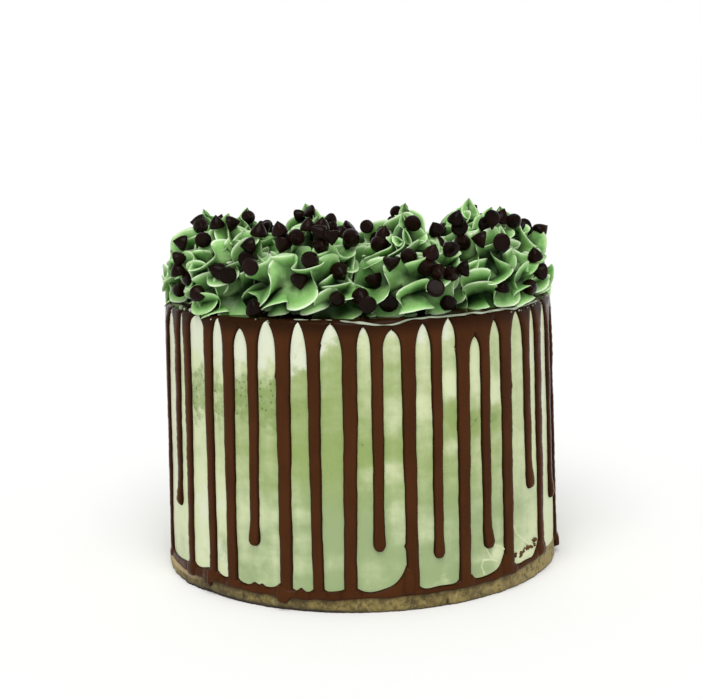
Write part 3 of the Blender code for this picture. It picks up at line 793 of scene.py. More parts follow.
def window_distance(azimuth, run, number):
    """Distance from each point to the edge of a window, positive on the chocolate."""
    centre, half, top_run, arch = window(number)
    aside = np.abs((azimuth - centre + math.pi) % (2.0 * math.pi) - math.pi) * RIM_RADIUS / half
    above = np.maximum(top_run + arch - run, 0.0) / arch
    power = 2.0 / POINTED
    size = np.sqrt(aside ** power + above ** 2)
    slope = np.hypot(0.5 * power / half * aside ** (power - 1.0), above / arch)
    return (size - 1.0) * size / np.maximum(slope, 1.0)


window_widths = [2.0 * window(number)[1] / MM for number in range(len(DRIPS))]
print("windows are", round(min(window_widths), 1), "to", round(max(window_widths), 1), "mm wide")

# %% [markdown]
# ## One drip as a grid
#
# Every drip carries its share of the top with it: rows start on the flat, cross the rounded
# edge, follow the arches at both sides and run down to the tip. Neighbours share the points
# along the middle of their window, so that the whole skin can be sewn into one sheet later.

# %% Grid of one drip
CAP_START = -9.0 * MM
CAP_ROWS = 8
ARCH_ROWS = 11
ROW_STEP = 1.7 * MM
TIP_ROWS = 7
ACROSS = 11
POOL_OVERLAP = 8.3 * MM


def side_rows(number, side, end_run):
    """Azimuths and runs down one side of a drip, from the flat top to its end."""
    centre, _, top_run, arch = window(number if side > 0 else (number - 1) % len(DRIPS))
    if side < 0 and number == 0:
        centre -= 2.0 * math.pi
    bend = np.linspace(0.0, QUARTER_TURN, ARCH_ROWS + 1)[1:]
    curve = top_run + arch * (1.0 - np.cos(bend))
    count = int((end_run - curve[-1]) / ROW_STEP)
    run = np.concatenate([np.linspace(CAP_START, top_run, CAP_ROWS), curve,
                          np.linspace(curve[-1], end_run, count + 1)[1:]])
    swing = np.concatenate([np.zeros(CAP_ROWS), np.sin(bend) ** POINTED, np.ones(count)])
    height = height_of_run(run)
    edge = middle(number, height) + side * half_width(number, side, height) / wall_radius(height)
    return centre + (edge - centre) * swing, run


def resampled(azimuth, run, rows):
    """Keep the rows of the cap and the arch, and space the rest evenly to a number of rows."""
    kept = CAP_ROWS + ARCH_ROWS
    spots = np.linspace(kept - 1, len(run) - 1, rows - kept + 1)[1:]
    index = np.concatenate([np.arange(kept), spots])
    every = np.arange(len(run))
    return np.interp(index, every, azimuth), np.interp(index, every, run)


def full_thickness(number, azimuth, run):
    """Thickness of the chocolate at points of one drip, away from its edges."""
    free_end = DRIPS[number][2]
    height = height_of_run(run)
    straight = soft_step(run, EDGE_RUN, EDGE_RUN + 9.0 * MM)
    full = rim_thickness(run) + (DRIP_THICKNESS - RIM_THICKNESS) * straight
    uneven = 0.06 * unevenness(azimuth, height, 51, 60, 5) * soft_step(run, 0.0, 6.0 * MM)
    full = full * (1.0 + uneven)
    if free_end is not None:
        full = full + 0.9 * MM * bump(height / MM - free_end - 4.5, 5.5)
    return full


def rounded_tip(number, azimuth, end_run, half, aside):
    """Rows that close a free end in half an ellipse, as azimuth, run, thickness and distance."""
    bend = np.linspace(0.0, QUARTER_TURN, TIP_ROWS + 1)[1:, None] * 0.985
    centre = 0.5 * (azimuth[0] + azimuth[-1])
    tip_azimuth = centre + (azimuth - centre) * np.cos(bend)
    tip_run = end_run + half * np.sin(bend) * np.ones(ACROSS)
    depth = np.minimum(half * (1.0 - aside) * np.cos(bend), half * (1.0 - np.sin(bend)))
    thickness = full_thickness(number, tip_azimuth, tip_run) * lip(depth, LIP_WIDTH)
    return tip_azimuth, tip_run, thickness, depth


def drip_grid(number):
    """Azimuth, run, thickness and distance from the edge, at the points of one drip."""
    azimuth, width, free_end = DRIPS[number]
    half = 0.68 * width * MM
    foot = max(POOL_OVERLAP, float(pool_low(math.radians(azimuth))) + 1.2 * MM)
    end_run = float(run_of_height(foot if free_end is None else free_end * MM + half))
    sides = [side_rows(number, side, end_run) for side in (-1, 1)]
    rows = max(len(run) for _, run in sides)
    left, right = [np.array(resampled(*side, rows))[:, :, None] for side in sides]
    across = 0.5 - 0.5 * np.cos(np.linspace(0.0, math.pi, ACROSS))
    azimuth, run = left + (right - left) * across
    aside = np.abs(2.0 * across - 1.0)
    near = np.minimum(window_distance(azimuth, run, number),
                      window_distance(azimuth, run, (number - 1) % len(DRIPS)))
    inside = half_width(number, 1, height_of_run(run)) * (1.0 - aside)
    below = soft_step(run, EDGE_RUN + 16.0 * MM, EDGE_RUN + 22.0 * MM)
    near = near * (1.0 - below) + inside * below
    grid = azimuth, run, full_thickness(number, azimuth, run) * lip(near, LIP_WIDTH), near
    if free_end is None:
        return grid
    tip = rounded_tip(number, azimuth[-1], end_run, half, aside)
    return tuple(np.concatenate(pair) for pair in zip(grid, tip))


sample = drip_grid(0)
print("a drip has", sample[0].shape[0], "rows, at most", round(sample[2].max() / MM, 1), "mm thick")

# %% [markdown]
# ## Sewing the skin together
#
# The grids of all the drips and of the flat top are laid side by side, and points that
# coincide become one. The sheet then gets a lining just inside the frosting, and a narrow
# wall along its free edge, so that the chocolate is a solid body like the real thing.

# %% Chocolate skin
SAME_SPOT = 0.002 * MM


def flat_top(azimuths):
    """Rings of the flat top inside the drips, from a point in the middle outwards."""
    middle_run = EDGE_ROUND - float(wall_radius(EDGE_FOOT))
    runs = [middle_run, -80.0 * MM, *np.linspace(-60.0 * MM, CAP_START, 9)]
    azimuth, run = np.meshgrid(azimuths, runs)
    return azimuth, run, np.full(run.shape, CAP_THICKNESS), np.full(run.shape, LIP_WIDTH)


def sewn(grids):
    """One list of points and faces from many grids, with coinciding points made one."""
    places, faces, start = [], [], 0
    for grid in grids:
        rows, columns = grid[0].shape
        places.append(np.stack(grid, -1).reshape(-1, len(grid)))
        faces.append(grid_faces(rows, columns, False) + start)
        start += rows * columns
    places = np.concatenate(places)
    spots = np.round(skin_point(places[:, 0], places[:, 1], 0.0) / SAME_SPOT).astype(int)
    _, first, owner = np.unique(spots, axis=0, return_index=True, return_inverse=True)
    return places[first], owner.ravel()[np.concatenate(faces)]


def lined(places, faces):
    """The outer sheet, its lining inside the frosting, and a wall along the free edge."""
    azimuth, run, thickness, _ = places.T
    ripple = 1.0 + 0.05 * unevenness(azimuth, run, 52, 40, 30)
    outer = skin_point(azimuth, run, thickness * ripple - 0.12 * MM)
    inner = skin_point(azimuth, run, -SKIN_SINK)
    count = len(outer)
    sheet = [[corner for i, corner in enumerate(face) if corner != face[i - 1]]
             for face in faces.tolist()]
    sheet = [face for face in sheet if len(face) > 2]
    edges = {(face[i - 1], corner) for face in sheet for i, corner in enumerate(face)}
    lining = [[corner + count for corner in face] for face in turned_over(sheet)]
    rim = [(b, a, a + count, b + count) for a, b in edges if (b, a) not in edges]
    return np.concatenate([outer, inner]), sheet + lining + rim


# %% [markdown]
# ## The pool round the foot
#
# Chocolate that ran all the way down gathered in an uneven ring. It climbs each drip that
# feeds it in a small fillet, and a few fillets are much larger. The ring is a closed tube: at
# each azimuth its section goes from the lower edge over its belly to the upper edge.

# %% Pool of chocolate
POOL_STEPS = 1200
POOL_BELLY = 2.9 * MM
POOL_SECTION = 9
FEEDING = [(number, math.degrees(middle(number, POOL_BELLY)), width)
           for number, (_, width, free_end) in enumerate(DRIPS) if free_end is None]
SMALL_FILLET = (1.6, 1.2, 1.6, 1.2)
LARGE_FILLETS = {11: (13.0, 5.0, 2.0, 2.0), 15: (9.0, 3.6, 2.5, 2.5), 17: (7.0, 3.6, 6.0, 2.4),
                 4: (2.2, 6.0, 2.0, 2.0), 9: (2.6, 5.0, 2.0, 2.0), 7: (3.0, 3.0, 1.5, 2.0)}
POOL_HIGHS = [(-180, 10.2), (-100, 10.5), (-70, 9.6), (-60, 11.6), (-46, 11.9), (-38, 10.6),
              (-10, 10.3), (20, 10.6), (46, 11.4), (58, 12.2), (70, 11.6), (100, 10.0), (180, 10.2)]
LUMPS = [(-17.0, 2.0, 1.6), (-31.0, 1.6, 2.2), (-28.5, 1.2, 1.4), (30.3, 1.4, 1.2), (100.0, 2.4, 2.0)]


def pool_high(azimuth):
    """Height of the pool's upper edge, in metres."""
    level = along(azimuth, POOL_HIGHS) + 0.3 * unevenness(azimuth, 0.0, 33, 60, 0)
    for number, centre, width in FEEDING:
        left, left_reach, right, right_reach = LARGE_FILLETS.get(number, SMALL_FILLET)
        away = arc(azimuth, centre)
        beyond = np.maximum(np.abs(away) - 0.5 * width, 0.0)
        level = level + np.where(away < 0.0, left * bump(beyond, left_reach, 1),
                                 right * bump(beyond, right_reach, 1))
    for centre, rise, reach in LUMPS:
        level = level + rise * bump(arc(azimuth, centre), reach)
    return level * MM


def pool_grid():
    """Points and faces of the closed ring, and how much painted shade each point gets."""
    turns = np.linspace(-math.pi, math.pi, POOL_STEPS, endpoint=False)
    low, high = pool_low(turns), pool_high(turns)
    height = high + (low - high) * np.linspace(0.0, 1.0, POOL_SECTION)[:, None]
    from_low, from_high = height - low, high - height
    proud = sum(bump(arc(turns, centre), 0.58 * width, 4) for _, centre, width in FEEDING)
    crease = sum(bump(np.abs(arc(turns, centre)) - 0.72 * width, 0.9)
                 for _, centre, width in FEEDING)
    fullness = 0.58 + 0.34 * proud - 0.08 * crease + 0.07 * unevenness(turns, 0.0, 34, 50, 0)
    fullness = fullness + sum(0.24 * bump(arc(turns, centre), reach + 0.6, 4)
                              for centre, _, reach in HANGING_DROPS)
    out = POOL_BELLY * np.minimum(fullness, 1.08)
    out = out * lip(from_low, 2.4 * MM) * lip(from_high, 6.5 * MM)
    out = out - pool_gap(turns) * (out + 0.5 * MM)
    azimuth = np.broadcast_to(turns, height.shape)
    outer = wall_point(azimuth, out - 0.1 * MM, height)
    inner = wall_point(azimuth[[-1, 0]], -3.0 * SKIN_SINK, height[[-1, 0]])
    points = np.concatenate([outer, inner]).reshape(-1, 3)
    faces = grid_faces(POOL_SECTION + 3, POOL_STEPS) % len(points)
    # Painted shade along the pool's edges and in the creases beside the drips that feed it.
    dark = 1.0 - soft_step(np.minimum(from_low, from_high), *DARK_WIDTH)
    dark = np.maximum(dark, 0.35 * crease * soft_step(from_low, 1.2 * MM, 2.4 * MM))
    return points, faces.tolist(), np.concatenate([dark, dark[[-1, 0]]]).ravel()


def build_chocolate():
    grids = [drip_grid(number) for number in range(len(DRIPS))]
    ring = np.concatenate([grid[0][0][:-1] for grid in grids] + [grids[-1][0][0][-1:]])
    places, faces = sewn(grids + [flat_top(ring)])
    # Painted shade: darker along the chocolate's edges, and on the rim where the swirls overhang it.
    dark = 1.0 - soft_step(places[:, 3], *DARK_WIDTH)
    dark = np.maximum(dark, 0.9 * (1.0 - soft_step(places[:, 1], 2.0 * MM, 10.0 * MM)))
    pool_points, pool_faces, pool_dark = pool_grid()
    points, faces = joined([lined(places, faces), (pool_points, pool_faces)])
    amounts = {"thin": np.concatenate([dark, dark, pool_dark])}
    return make_piece("chocolate_drip", points, faces, ganache, amounts)


place(build_chocolate(), "chocolate", "ganache_drip")

# %% [markdown]
# ## The finish of the swirls
#
# Whipped mint buttercream is satin and slightly translucent. Thin edges catch the light and
# look paler and yellower, while folds deep inside look darker and more saturated; both are
# painted into the colour, as a painted glow and highlight on the edges and painted shade at
# the fin roots and in the folds. How close a point is to the edge of its fin is stored on
# the mesh, so the colour can follow it.

# %% Swirl finish
FOLD_SHADE_GREEN = paint(4, 34, 2)
PETAL_GREEN = paint(108, 165, 84)
PETAL_YELLOW = paint(158, 204, 122)
LIT_EDGE_AND_SPECKLE_GREEN = paint(192, 230, 162)
EDGE_HIGHLIGHT_GREEN = paint(232, 250, 212)


def mint_finish():
    finish = Finish("mint_buttercream", 0.5)
    cloud = finish.noise(12.0 * MM)
    grain = finish.noise(0.9 * MM, 4.0, 0.6)
    speckle = finish.noise(3.0 * MM, 4.0, 0.65)
    fin = finish.amount("fin")
    edge = finish.combine("MULTIPLY", finish.threshold(fin, 0.90, 0.98),
                          finish.threshold(cloud, 0.3, 0.6, 0.9))
    # Painted shade at the fin roots and deep in the folds, a painted glow on thin edges and a painted
    # highlight along them.
    colour = finish.coats(FOLD_SHADE_GREEN,
                          (finish.threshold(fin, 0.10, 0.82), PETAL_GREEN),
                          (finish.threshold(cloud, 0.35, 0.7, 0.5), PETAL_YELLOW),
                          (finish.threshold(speckle, 0.4, 0.75, 0.3), LIT_EDGE_AND_SPECKLE_GREEN),
                          (finish.threshold(fin, 0.72, 0.96, 0.5), LIT_EDGE_AND_SPECKLE_GREEN),
                          (edge, EDGE_HIGHLIGHT_GREEN),
                          (finish.threshold(finish.amount("inside"), 0.05, 1.0, 0.9), FOLD_SHADE_GREEN))
    return finish.complete(colour, finish.combine("ADD", grain, speckle), 0.22 * MM,
                           {"Roughness": finish.threshold(grain, -0.5, 1.6, 0.95),
                            "Specular IOR Level": 0.16, "Subsurface Weight": 0.08,
                            "Subsurface Radius": (1.0, 1.2, 0.6), "Subsurface Scale": 1.5 * MM})


mint = mint_finish()
print("mint finish has", len(mint.node_tree.nodes), "nodes")

# %% [markdown]
# ## The way of the piping nozzle
#
# Each swirl was piped in one go: round its foot, inwards and up, then a quick pull that leaves
# a thin tail. The nozzle's way is a closing spiral. Carrying a pair of directions along it,
# without spin, says which way is sideways and which is up for every section of the rope.

# %% Nozzle path
SWIRL_COUNT = 10
FIRST_SWIRL = -18.0
SWIRL_RING = 80.0 * MM
SWIRL_FLOOR = 145.6 * MM
SWIRL_LIMIT = 107.6 * MM
PATH_STEPS = 300
PATH_REACH_OUT = 14.0 * MM
PATH_REACH_ASIDE = 16.0 * MM
PATH_START = 5.5 * MM
SHOULDER = 0.62
SHOULDER_SHARE = 0.80
TURNS = 1.8
FLICK = 3.0 * MM


def swirl_path(peak, lean, bearing):
    """The nozzle's way, and how far each point is along its winding, its pull and the whole."""
    way = np.linspace(0.0, 1.0, PATH_STEPS)
    wind = np.clip(way / SHOULDER_SHARE, 0.0, 1.0)
    pull = np.clip((way - SHOULDER_SHARE) / (1.0 - SHOULDER_SHARE), 0.0, 1.0)
    angle = bearing + 2.0 * np.pi * TURNS * wind
    close = 1.0 - wind ** 3.0
    shoulder = SHOULDER * peak
    height = PATH_START + (shoulder - PATH_START) * wind ** 1.1 + (peak - shoulder) * pull ** 0.9
    flick = FLICK * pull ** 2
    outward = PATH_REACH_OUT * close * np.cos(angle) + flick * math.cos(2.3 * bearing)
    aside = PATH_REACH_ASIDE * close * np.sin(angle) + flick * math.sin(2.3 * bearing)
    return np.stack([outward, aside + lean * way ** 3, height], 1), wind, pull, way


def path_frames(centre):
    """Unit tangent and two cross directions carried along the path without spin."""
    tangent = np.gradient(centre, axis=0)
    tangent /= np.linalg.norm(tangent, axis=1)[:, None]
    side = np.zeros_like(centre)
    carried = np.cross(tangent[0], [0.0, 0.0, 1.0])
    for i, direction in enumerate(tangent):
        carried = carried - direction * carried.dot(direction)
        carried /= np.linalg.norm(carried)
        side[i] = carried
    return tangent, side, np.cross(side, tangent)


trial = swirl_path(45.0 * MM, 0.0, 0.0)[0]
print("one swirl takes", round(np.linalg.norm(np.diff(trial, axis=0), axis=1).sum() / MM), "mm of rope")

# %% [markdown]
# ## Ruffled fins
#
# A closed star nozzle gives the rope seven thin fins. Cream that leaves it faster than the hand
# moves folds back and forth, so every fin is a ruffle, calm at the root and wavier towards the
# edge. Each point of a section is therefore pushed across and along the rope by a sine that
# grows with its distance from the core.

# %% Sections of the piped rope
FINS = 7
FIN_POINTS = 12
FIN_REACH = 14.8 * MM
FIN_ROOT = 3.4 * MM
FIN_THICKNESS = 1.2 * MM
ROOT_THICKNESS = 2.2 * MM
RUFFLE_DEPTH = 8.0 * MM
RUFFLE_FOLD = 4.4 * MM
RUFFLE_LENGTH = 15.5
RUFFLE_SHIFT = 0.5


def swirl_rings(number, peak, lean, bearing, twist):
    """Sections of the rope, and how near each point is to the edge of its fin."""
    centre, wind, pull, way = swirl_path(peak, lean, bearing)
    tangent, side, above = path_frames(centre)
    steps = np.linalg.norm(np.diff(centre, axis=0), axis=1)
    run = np.concatenate([[0.0], np.cumsum(steps)]) / MM
    swell = np.minimum(1.0, 0.35 + 0.65 * np.sqrt(run / 9.0))
    size = np.clip(swell * (1.0 - 0.15 * wind ** 2) * (1.0 - pull) ** 0.85, 0.03, None)
    calm = 1.0 - 0.75 * pull
    share = np.linspace(0.0, 1.0, FIN_POINTS // 2)
    out = np.concatenate([share, share[::-1]])
    face = np.repeat([-1.0, 1.0], FIN_POINTS // 2)
    rings = np.zeros((PATH_STEPS, FINS * FIN_POINTS, 3))
    for fin in range(FINS):
        shift = 1.3 * fin + number
        turn = 2.0 * np.pi * fin / FINS + twist * way + 0.35 * np.sin(0.16 * run + 1.7 * fin + number)
        length = RUFFLE_LENGTH * (1.0 + 0.04 * math.sin(2.1 * fin + number))
        phase = 2.0 * np.pi * run / length + RUFFLE_SHIFT * fin + 1.1 * np.sin(run / 15.0 + shift)
        scallop = 0.86 + 0.16 * np.abs(np.sin(phase)) + 0.10 * np.sin(run / 9.0 + 2.3 * fin + number)
        torn = 0.020 * np.sin(run * 1.9 + 5.0 * fin) * np.sin(run * 0.63 + shift) * calm
        for k in range(FIN_POINTS):
            reach = FIN_ROOT + (FIN_REACH * (scallop + torn) - FIN_ROOT) * out[k]
            thick = ROOT_THICKNESS * (1.0 - out[k]) ** 1.6
            thick += 0.5 * FIN_THICKNESS * (1.0 - 0.85 * out[k] ** 8)
            bend = out[k] ** 1.3 * calm
            across = face[k] * thick + RUFFLE_DEPTH * bend * np.sin(phase)
            moves = [((reach * np.cos(turn) - across * np.sin(turn)) * size, side),
                     ((reach * np.sin(turn) + across * np.cos(turn)) * size, above),
                     (-RUFFLE_FOLD * bend * np.sin(2.0 * phase) * size, tangent)]
            rings[:, fin * FIN_POINTS + k] = centre + sum(far[:, None] * way_there
                                                          for far, way_there in moves)
    return rings, np.tile(out, (PATH_STEPS, FINS))


print("a section of the rope has", FINS * FIN_POINTS, "points")

# %% [markdown]
# ## Pressed into its place
#
# A rope that lands on something spreads. A soft squash keeps each swirl on the chocolate, in
# its own wedge of the ring and inside the cake's rim. How deep a point lies under the
# swirl's outline is stored too, so that painted shade can darken the folds inside, where
# light hardly reaches.

# %% Pressing a swirl, and its depth
PRESS_IN = 0.8 * MM
PRESS_BELOW = 1.0 * MM
PRESS_ASIDE = 1.8 * MM
PRESS_OUTSIDE = 2.0 * MM
CROSSING = 2.6 * MM
OUTLINE_BEARINGS = 40
OUTLINE_RISES = 12
HEART = 4.0 * MM
SHADE_DEPTH = 9.0 * MM


def soft_positive(distance, soft):
    """The distance where it is well above 0, and a soft approach to 0 below."""
    return soft * np.logaddexp(0.0, distance / soft)


def side_planes():
    """Normals of the two upright planes that a swirl shares with its neighbours."""
    half = math.pi / SWIRL_COUNT
    return [(math.sin(half), hand * math.cos(half)) for hand in (-1.0, 1.0)]


def fall_of_rim(reach):
    """How far the chocolate's surface has fallen away, at a distance from the cake's middle."""
    round_edge = EDGE_ROUND + RIM_THICKNESS
    past = np.clip((reach - RIM_RADIUS + EDGE_ROUND) / round_edge, 0.0, 1.0)
    beyond = np.clip(reach - RIM_RADIUS - RIM_THICKNESS, 0.0, 1.0 * MM)
    return round_edge * (1.0 - np.sqrt(1.0 - past ** 2)) + 1.5 * beyond


def settle(rings):
    """Press the rope on the chocolate below, against its neighbours and to the cake's rim."""
    across = rings[..., 0] + SWIRL_RING
    aside = rings[..., 1]
    reach = np.hypot(across, aside)
    kept = (SWIRL_LIMIT - soft_positive(SWIRL_LIMIT - reach, PRESS_OUTSIDE) + PRESS_IN) / reach
    across = across * kept
    aside = aside * kept
    for normal in side_planes():
        distance = across * normal[0] + aside * normal[1] + CROSSING
        moved = soft_positive(distance, PRESS_ASIDE) - distance
        across = across + moved * normal[0]
        aside = aside + moved * normal[1]
    fall = fall_of_rim(np.hypot(across, aside))
    height = soft_positive(rings[..., 2] + fall, PRESS_BELOW) - PRESS_IN - fall
    return np.stack([across - SWIRL_RING, aside, height], -1)


def inside(rings):
    """0 at the swirl's outline and 1 deep inside it, as seen from outside through its heart."""
    arm = rings - np.array([0.0, 0.0, HEART])
    reach = np.linalg.norm(arm, axis=-1)
    bearing = (np.arctan2(arm[..., 1], arm[..., 0]) / (2.0 * np.pi) % 1.0) * OUTLINE_BEARINGS
    rise = np.clip(np.arcsin(arm[..., 2] / reach) / QUARTER_TURN, 0.0, 0.999) * (OUTLINE_RISES - 1)
    start, low = bearing.astype(int), rise.astype(int)
    outline = np.zeros((OUTLINE_BEARINGS, OUTLINE_RISES))
    np.maximum.at(outline, (start, np.rint(rise).astype(int)), reach)
    outline = (np.roll(outline, 1, 0) + 2.0 * outline + np.roll(outline, -1, 0)) / 4.0
    turn, lift = bearing - start, rise - low
    edges = [(1.0 - lift) * outline[column, low] + lift * outline[column, low + 1]
             for column in (start, (start + 1) % OUTLINE_BEARINGS)]
    there = (1.0 - turn) * edges[0] + turn * edges[1]
    return np.clip((there - reach) / SHADE_DEPTH, 0.0, 1.0)


print("neighbouring swirls may cross by", round(CROSSING / MM, 1), "mm")

# %% [markdown]
# ## The ring of swirls
#
# Ten swirls stand in a ring. Each has its own peak height, lean, starting bearing and twist,
# since no two piped swirls match. They are built in their own space, with X pointing out from
# the cake's middle, and then turned and moved into place.

# %% Piped swirls
SWIRLS = [
    (49, 5, 0.5, 5.6), (49, 1, 1.8, 7.0), (49, 3, 3.1, 8.4), (47, -3, 4.4, 6.3),
    (49, 0, 5.7, 7.0), (46, -5, 7.0, 8.4), (47, 4, 8.3, 5.6), (47, 0, 9.6, 7.0),
    (49, -4, 10.9, 8.4), (49, -5, 12.2, 7.0),
]


def swirl_place(number):
    """The matrix that takes a swirl from its own space to its place in the ring."""
    azimuth = math.radians(FIRST_SWIRL + 360.0 * number / SWIRL_COUNT)
    spot = Vector((SWIRL_RING * math.sin(azimuth), -SWIRL_RING * math.cos(azimuth), SWIRL_FLOOR))
    return Matrix.Translation(spot) @ Matrix.Rotation(azimuth - QUARTER_TURN, 4, "Z")


def build_swirl(number):
    peak, lean, bearing, twist = SWIRLS[number]
    rings, fins = swirl_rings(number, peak * MM, lean * MM, bearing, twist)
    rings = settle(rings)
    # The depth inside the outline drives the painted shade of the folds.
    swirl = make_piece(f"piped_swirl_{number + 1}", rings, turned_over(rope_faces(*fins.shape)), mint,
                       {"fin": fins, "inside": inside(rings)})
    swirl.data.transform(swirl_place(number))
    place(swirl, "mint_swirl", f"swirl_{number + 1}")
    return swirl


swirls = [build_swirl(number) for number in range(SWIRL_COUNT)]

# %% [markdown]
# ## Chocolate chips
#
# A chip is a drop of chocolate that set on a flat belt: a flat base, a full rounded side and
# a small tip, often bent over. Turned rings of points make one, and the tip's rings are
# shifted aside for the bend. All the chips are joined in one piece.

# %% Shape of a chip
CHIP_RADIUS = 4.3 * MM
CHIP_HEIGHT = 7.2 * MM
CHIP_SIDES = 18
CHIP_PROFILE = [(0.80, 0.0), (0.95, 0.03), (1.0, 0.10), (0.985, 0.2), (0.90, 0.36), (0.76, 0.52),
                (0.57, 0.67), (0.37, 0.80), (0.21, 0.89), (0.12, 0.96), (0.05, 0.995)]
CHIP_FACES = turned_over(drum_faces(len(CHIP_PROFILE), CHIP_SIDES))


def chip_points(curl, dent):
    """Rings of a chip standing on its base, then the middles of its base and its tip."""
    points = []
    for share, rise in CHIP_PROFILE:
        for i in range(CHIP_SIDES):
            angle = 2.0 * math.pi * i / CHIP_SIDES
            radius = CHIP_RADIUS * share * (1.0 + 0.035 * math.sin(2.0 * angle + dent) * (1.0 - rise))
            points.append((radius * math.cos(angle) + curl * rise ** 3 * MM,
                           radius * math.sin(angle), rise * CHIP_HEIGHT))
    return points + [(0.0, 0.0, 0.0), (curl * MM, 0.0, CHIP_HEIGHT)]


def chip_matrix(centre, axis):
    """Puts a chip's heart on the centre, with its tip along the axis."""
    turn = axis.to_track_quat("Z", "Y").to_matrix().to_4x4()
    return Matrix.Translation(centre) @ turn @ Matrix.Translation((0.0, 0.0, -0.4 * CHIP_HEIGHT))


print("a chip has", sum(len(face) - 2 for face in CHIP_FACES), "triangles")

# %% [markdown]
# ## Scattering chips over the swirls
#
# The chips of a swirl are spread by the golden ratio, round it and up it, so any number of
# them is even but never in rows, and every fourth one lies close to the one before. A line
# from outside towards the swirl's middle finds the surface, and the chip is sunk into the
# cream there, tilted at random. Those that the camera would see are left out: the next step
# places them one by one.

# %% Chips of the hidden sides
GOLDEN_SHARE = 0.5 * (math.sqrt(5.0) - 1.0)
GOLDEN_ANGLE = 2.0 * math.pi * (1.0 - GOLDEN_SHARE)
CHIPS_PER_SWIRL = 26
CHIP_TRIES = 90
CHIP_SPACING = 6.2 * MM
CHIP_CLEARANCE = 4.9 * MM
LOWEST_CHIP = 4.0 * MM
HIGHEST_CHIP = 44.5 * MM
BEHIND_FRONT = 58.0 * MM
ABOVE_FRONT = 22.0 * MM
CENTRE_CHIPS = 9
CENTRE_REACH = 42.0 * MM
CHIP_REST = 2.7 * MM


def scatter(draw, spread):
    """A vector of three random numbers round 0."""
    return Vector((draw.gauss(0.0, spread), draw.gauss(0.0, spread), draw.gauss(0.0, spread)))


def nearest(centre, centres):
    return min([(centre - other).length for other in centres], default=1.0)


def skin_of(pieces, matrix=Matrix()):
    """The surfaces of some pieces in a form that is quick to search."""
    points, faces = joined([([matrix @ vertex.co for vertex in piece.data.vertices],
                             [face.vertices for face in piece.data.polygons]) for piece in pieces])
    return BVHTree.FromPolygons(points.tolist(), faces)


def chips_of_swirl(number):
    """Where the chips of one swirl go, in the cake's space."""
    draw = random.Random(100 + number)
    to_place = swirl_place(number)
    skin = skin_of([swirls[number]], to_place.inverted())
    spots, centres = [], []
    for i in range(CHIP_TRIES):
        if len(centres) == CHIPS_PER_SWIRL:
            break
        if i % 4 < 3 or not centres:
            bearing = number + i * GOLDEN_ANGLE + draw.uniform(-0.3, 0.3)
            share = (0.3 + i * GOLDEN_SHARE) % 1.0
            height = LOWEST_CHIP + (HIGHEST_CHIP - LOWEST_CHIP) * share ** 1.15
        else:
            bearing += draw.choice((-1.0, 1.0)) * draw.uniform(0.25, 0.6)
            height = min(height + draw.uniform(-6.0, 8.0) * MM, HIGHEST_CHIP)
        tilt = scatter(draw, 1.0).normalized()
        outward = Vector((math.cos(bearing), math.sin(bearing), 0.0))
        hit = skin.ray_cast(outward * 60.0 * MM + Vector((0.0, 0.0, height)), -outward)[0]
        if hit is None:
            continue
        centre = hit + outward * 1.6 * MM
        centre.z = max(centre.z, CHIP_CLEARANCE)
        for normal in side_planes():
            distance = (centre.x + SWIRL_RING) * normal[0] + centre.y * normal[1]
            centre += Vector((*normal, 0.0)) * max(CHIP_CLEARANCE - distance, 0.0)
        if nearest(centre, centres) < CHIP_SPACING:
            continue
        centres.append(centre)
        there = to_place @ centre
        outside = math.hypot(there.x, there.y) > BEHIND_FRONT
        if there.y < 0.0 and (outside or centre.z > ABOVE_FRONT):
            continue
        facing = 1.0 if draw.random() < 0.5 else -1.2
        spots.append(to_place @ chip_matrix(centre, (tilt + facing * outward).normalized()))
    return spots


def chips_of_centre():
    """Chips on the chocolate inside the ring, upright and on their side by turns."""
    draw = random.Random(3)
    spots = []
    for i in range(CENTRE_CHIPS):
        reach = CENTRE_REACH * math.sqrt((i + 0.5) / CENTRE_CHIPS)
        angle = i * GOLDEN_ANGLE + draw.uniform(-0.2, 0.2)
        roll = draw.uniform(0.0, 2.0 * math.pi)
        tilt = Vector((math.cos(roll), math.sin(roll), 4.0 if i % 2 else 0.3)).normalized()
        centre = Vector((reach * math.sin(angle), -reach * math.cos(angle), CAP_TOP + CHIP_REST))
        spots.append(chip_matrix(centre, tilt))
    return spots


hidden_chips = [spot for number in range(SWIRL_COUNT) for spot in chips_of_swirl(number)]
print(len(hidden_chips), "chips at the back and the sides")

# %% [markdown]
# ## Placing the chips of the front
#
# The chips that show at the front are listed one by one: azimuth, height above the chocolate
# in millimetres, and which way the tip points. Each comes in level from the front and goes
# back until it rests on cream or on another chip. Where it finds no rest, or would land too
# close to another, it is tried again a little lower.

